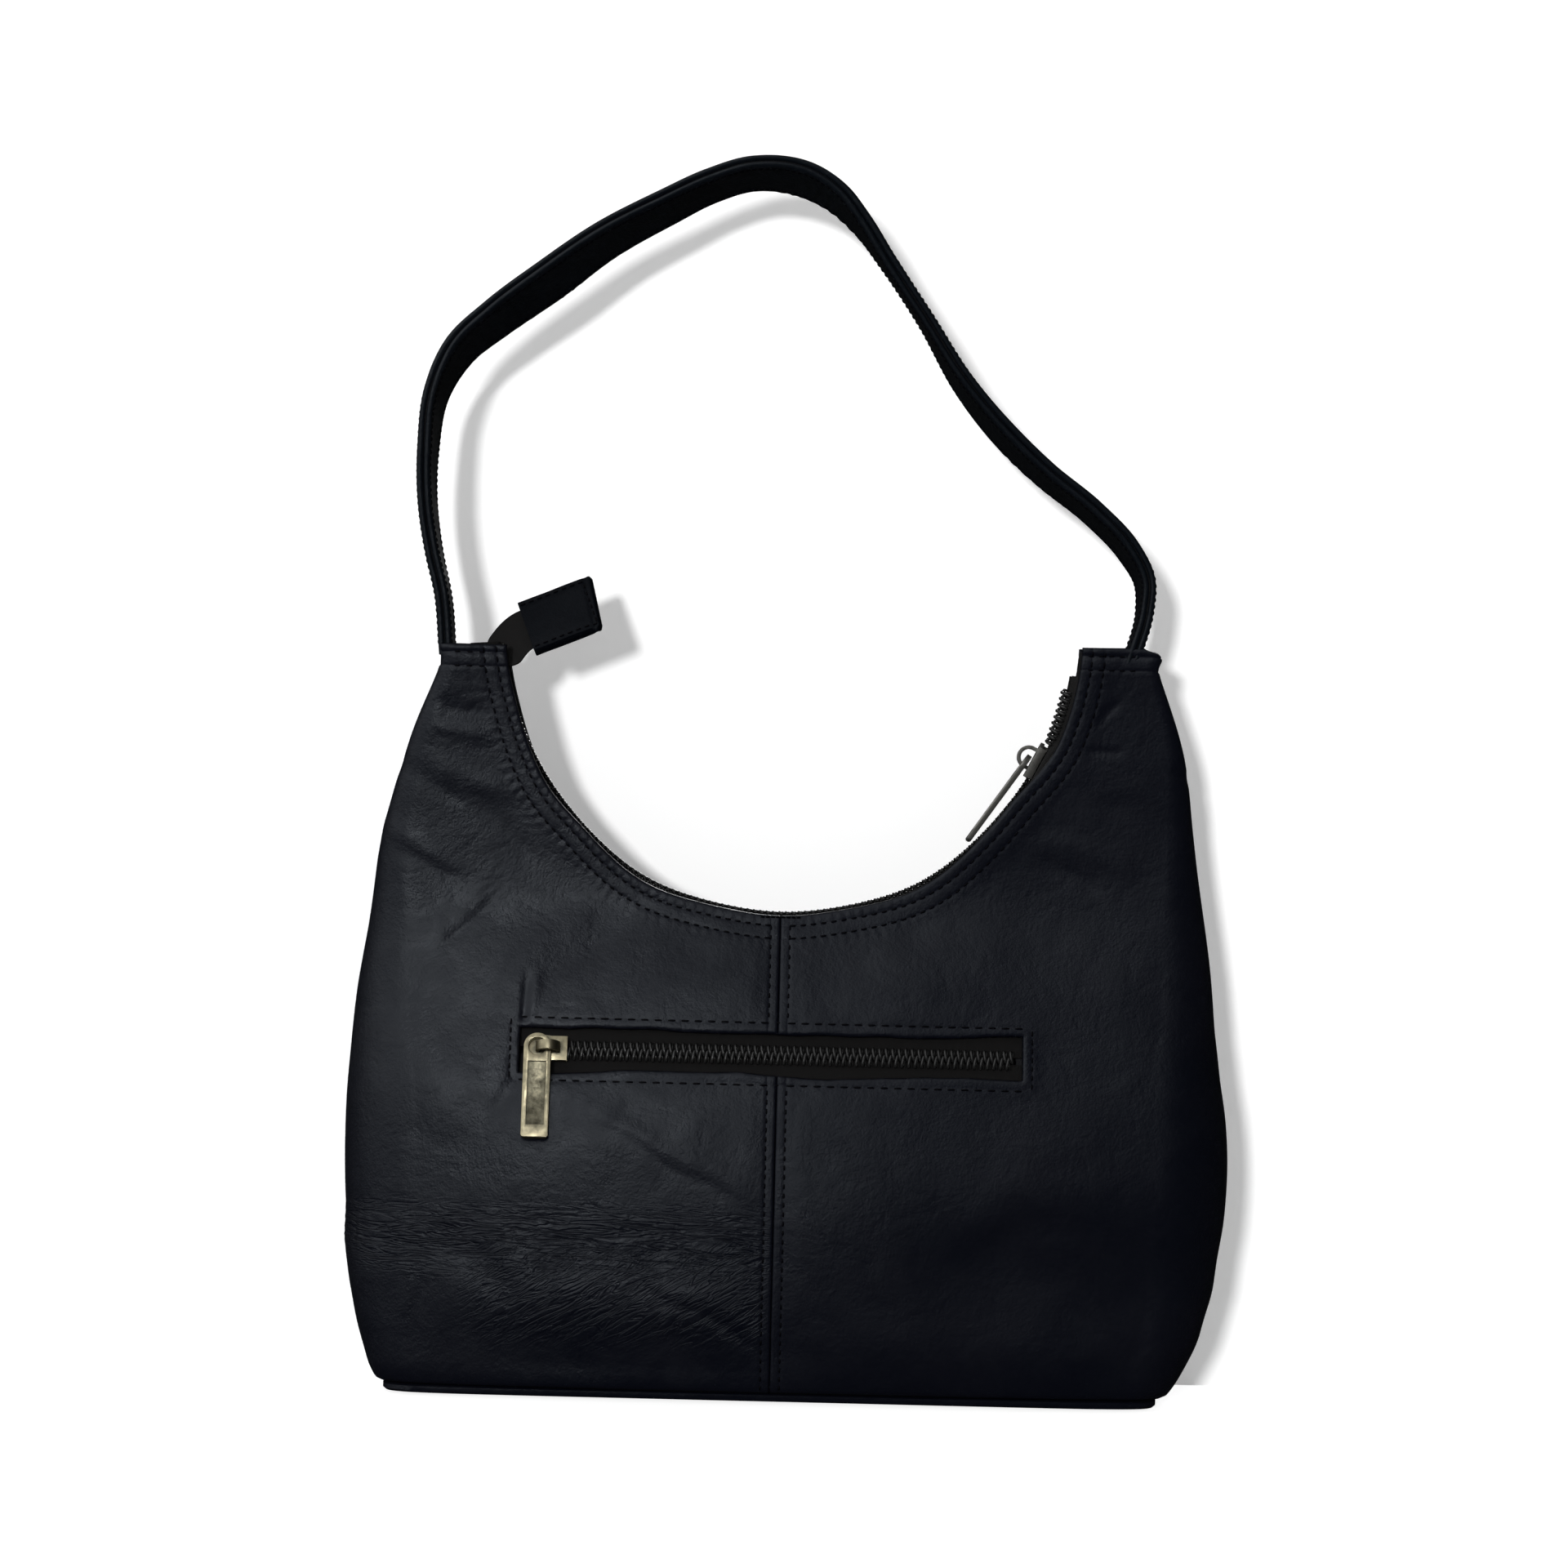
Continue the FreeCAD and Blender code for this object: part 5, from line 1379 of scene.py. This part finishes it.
for face_name, sign in (("front", -1), ("back", 1)):
    skins = [surface_of(panels[face_name, side]) for side in (-1, 1)]
    rows = []
    for side in (-1, 1):
        for offset in (3.5, 7.5):
            rows += stitch_row(skins, arc_points(offset, side * 1.4, side * 87.0), 3.2, sign)
        for drop in (2.6, 7.0):
            outer = 106 if side < 0 else 111
            level = float(ear_top(side)) - drop
            rows += stitch_row(skins, [(side * 94.5, level), (side * outer, level)], 3.0, sign)
        if face_name == "front":
            for low, high in ((3.5, 98.0), (119.0, 149.0)):
                rows += stitch_row(skins, [(side * 3.0, low), (side * 3.0, high)], 2.8, sign)
        else:
            rows += stitch_row(skins, [(side * 3.0, 3.5), (side * 3.0, 149)], 2.8, sign)
    if face_name == "front":
        for z in (WINDOW_LOW[1] - 3.1, WINDOW_HIGH[1] + 3.1):
            rows += stitch_row(skins, [(WINDOW_LOW[0] - 1, z), (WINDOW_HIGH[0] + 1, z)], 4.1, sign)
        for x in (WINDOW_LOW[0] - 3.1, WINDOW_HIGH[0] + 3.1):
            rows += stitch_row(skins, [(x, WINDOW_LOW[1] - 3), (x, WINDOW_HIGH[1] + 3)], 2.4, sign,
                               0.8)
        for side in (-1, 1):
            rows += stitch_row(skins, [(-6.5, 150.8), (6.5, 150.8)], 1.6, sign, 0.9)
    finish_piece(copies(f"stitches_{face_name}", stitch_pattern(), rows), "bag", thread_nylon,
                 "outer_leather")

tab_skin = surface_of(zip_tail_leather)
tab_rows = []
along_tab, across_tab, out_of_tab = TAB_TURN.to_3x3().col
for face_sign in (1, -1):
    outward = out_of_tab * face_sign
    line = [(x, y, along_tab) for y in (-8.8, 8.8) for x in np.arange(1.5, 21.5, 2.8)]
    line += [(21.8, y, across_tab) for y in np.arange(-7.4, 7.5, 2.8)]
    for x, y, along in line:
        origin = (TAB_NEAR + along_tab * x + across_tab * y + outward * 10) * MM
        hit, _, _, _ = tab_skin.ray_cast(origin, -outward)
        if hit is not None:
            place = frame_at(hit + outward * STITCH_LIFT * MM, along, outward)
            tab_rows.append(place @ Matrix.Diagonal((1.8, 1.0, 1.0, 1.0)))
finish_piece(copies("stitches_tab", stitch_pattern(), tab_rows), "zip_tail", thread_nylon,
             "outer_leather")

centre, across, normal, _ = strap_frames(STRAP_STATIONS)
strap_rows = []
for number in range(4, len(centre) - 4, 2):
    for edge in (-1, 1):
        for face_sign in (1, -1):
            point = centre[number] + across[number] * edge * (HALF_STRAP - 2.3) + (
                normal[number] * face_sign * 2.03)
            ahead = centre[number + 1] - centre[number - 1]
            place = frame_at(Vector(point) * MM, Vector(ahead), Vector(normal[number] * face_sign))
            strap_rows.append(place @ Matrix.Diagonal((1.7, 1.0, 1.0, 1.0)))
strap_stitches = copies("stitches_strap", stitch_pattern(), strap_rows)
dress(strap_stitches, thread_nylon, "strap_leather")
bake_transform(strap_stitches)

# ---------------------------------------------------------------- studio

deselect()
bpy.ops.mesh.primitive_plane_add(size=8, location=(0, 0, -0.0006))
floor = bpy.context.object
floor.name = "studio_floor"
bpy.ops.mesh.primitive_plane_add(size=1, location=(0, 0.046, 0.2),
                                 rotation=(math.radians(90), 0, 0))
board = bpy.context.object
board.name = "studio_board"
board.scale = (3.0, 3.0, 1.0)


def white_stage(name, glow, hidden_behind=False):
    """White paper: it glows for the camera and for rays through glass, and keeps the object's
    shadow.
    """
    material = bpy.data.materials.new(name)
    material.use_nodes = True
    tree = material.node_tree
    tree.nodes.clear()
    output = node(tree, "ShaderNodeOutputMaterial")
    paper = node(tree, "ShaderNodeBsdfDiffuse", Color=(0.85, 0.85, 0.85, 1))
    light = node(tree, "ShaderNodeEmission", Strength=glow)
    rays = node(tree, "ShaderNodeLightPath")
    seen = node(tree, "ShaderNodeMath", operation="MAXIMUM")
    link(tree, rays.outputs["Is Camera Ray"], seen.inputs[0])
    link(tree, rays.outputs["Is Transmission Ray"], seen.inputs[1])
    both = node(tree, "ShaderNodeAddShader")
    link(tree, paper.outputs[0], both.inputs[0])
    link(tree, light.outputs[0], both.inputs[1])
    mix = node(tree, "ShaderNodeMixShader")
    link(tree, seen.outputs[0], mix.inputs[0])
    link(tree, paper.outputs[0], mix.inputs[1])
    link(tree, both.outputs[0], mix.inputs[2])
    last = mix.outputs[0]
    if hidden_behind:
        geometry = node(tree, "ShaderNodeNewGeometry")
        clear = node(tree, "ShaderNodeBsdfTransparent")
        two = node(tree, "ShaderNodeMixShader")
        link(tree, geometry.outputs["Backfacing"], two.inputs[0])
        link(tree, last, two.inputs[1])
        link(tree, clear.outputs[0], two.inputs[2])
        last = two.outputs[0]
    link(tree, last, output.inputs["Surface"])
    return material


floor.data.materials.append(white_stage("white_floor", 0.80))
board.data.materials.append(white_stage("white_board", 0.27, True))
floor.visible_glossy = False
board.visible_glossy = False
board.visible_shadow = False
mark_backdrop(floor, board)

world = bpy.data.worlds.new("studio")
world.use_nodes = True
bpy.context.scene.world = world
tree = world.node_tree
background = tree.nodes["Background"]
rays = node(tree, "ShaderNodeLightPath")
way = node(tree, "ShaderNodeTexCoord")
to_light = node(tree, "ShaderNodeVectorMath", operation="DOT_PRODUCT")
to_light.inputs[1].default_value = Vector((-0.62, -0.42, 0.66)).normalized()
link(tree, way.outputs["Generated"], to_light.inputs[0])
mirrored = ramp(tree, to_light.outputs["Value"], [
    (0.0, (0.01, 0.01, 0.01)), (0.45, (0.03, 0.03, 0.03)), (0.72, (0.30, 0.30, 0.30)),
    (0.94, (1, 1, 1))])
even = node(tree, "ShaderNodeMix", data_type="RGBA")
even.inputs[6].default_value = (0.30, 0.30, 0.30, 1)
link(tree, rays.outputs["Is Glossy Ray"], even.inputs["Factor"])
link(tree, mirrored, even.inputs[7])
straight = node(tree, "ShaderNodeMath", operation="MAXIMUM")
link(tree, rays.outputs["Is Camera Ray"], straight.inputs[0])
link(tree, rays.outputs["Is Transmission Ray"], straight.inputs[1])
white = node(tree, "ShaderNodeMix", data_type="RGBA")
white.inputs[7].default_value = (1, 1, 1, 1)
link(tree, straight.outputs[0], white.inputs["Factor"])
link(tree, even.outputs[2], white.inputs[6])
link(tree, white.outputs[2], background.inputs["Color"])


def lamp(name, kind, location, target, energy, size=None, angle=None, spread=None):
    """A lamp at a place that points at a target."""
    deselect()
    bpy.ops.object.light_add(type=kind, location=location)
    item = bpy.context.object
    item.name = name
    item.rotation_mode = "QUATERNION"
    item.rotation_quaternion = (Vector(target) - Vector(location)).to_track_quat("-Z", "Y")
    item.data.energy = energy
    if size is not None:
        item.data.shape = "RECTANGLE"
        item.data.size, item.data.size_y = size
    if angle is not None:
        item.data.angle = math.radians(angle)
    if spread is not None:
        item.data.spread = math.radians(spread)
    return item


key_sun = lamp("key_sun", "SUN", (-0.42, -2.0, 0.42), (0, 0, 0.2), 2.15, angle=5)
key_sun.visible_glossy = False
soft_panel = lamp("upper_left_panel", "AREA", (-0.11, -0.84, 0.42), (-0.095, -0.03, 0.100), 0.042,
                  size=(0.08, 0.36), spread=19)
soft_panel.visible_diffuse = False
back_panel = lamp("back_panel", "AREA", (0.15, 1.0, 0.42), (0, 0.03, 0.06), 0.07, size=(0.3, 0.3),
                  spread=24)
back_panel.visible_diffuse = False

CAMERA_DISTANCE = 1.6
VIEW_WIDTH = 0.4992
SENSOR_WIDTH = 36
CAMERA_ROLL = 1.4

target = Vector((0.0, 0.0, 0.193))
camera_data = bpy.data.cameras.new("camera")
camera = bpy.data.objects.new("camera", camera_data)
bpy.context.scene.collection.objects.link(camera)
camera.location = target + Vector((0, -CAMERA_DISTANCE, 0))
camera.rotation_mode = "QUATERNION"
level_turn = Vector((0, 1, 0)).to_track_quat("-Z", "Y")
camera.rotation_quaternion = level_turn @ Quaternion((0, 0, 1), math.radians(CAMERA_ROLL))
camera_data.sensor_width = SENSOR_WIDTH
camera_data.lens = SENSOR_WIDTH * CAMERA_DISTANCE / VIEW_WIDTH
bpy.context.scene.camera = camera
bpy.context.scene.view_settings.view_transform = "Standard"

low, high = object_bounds()
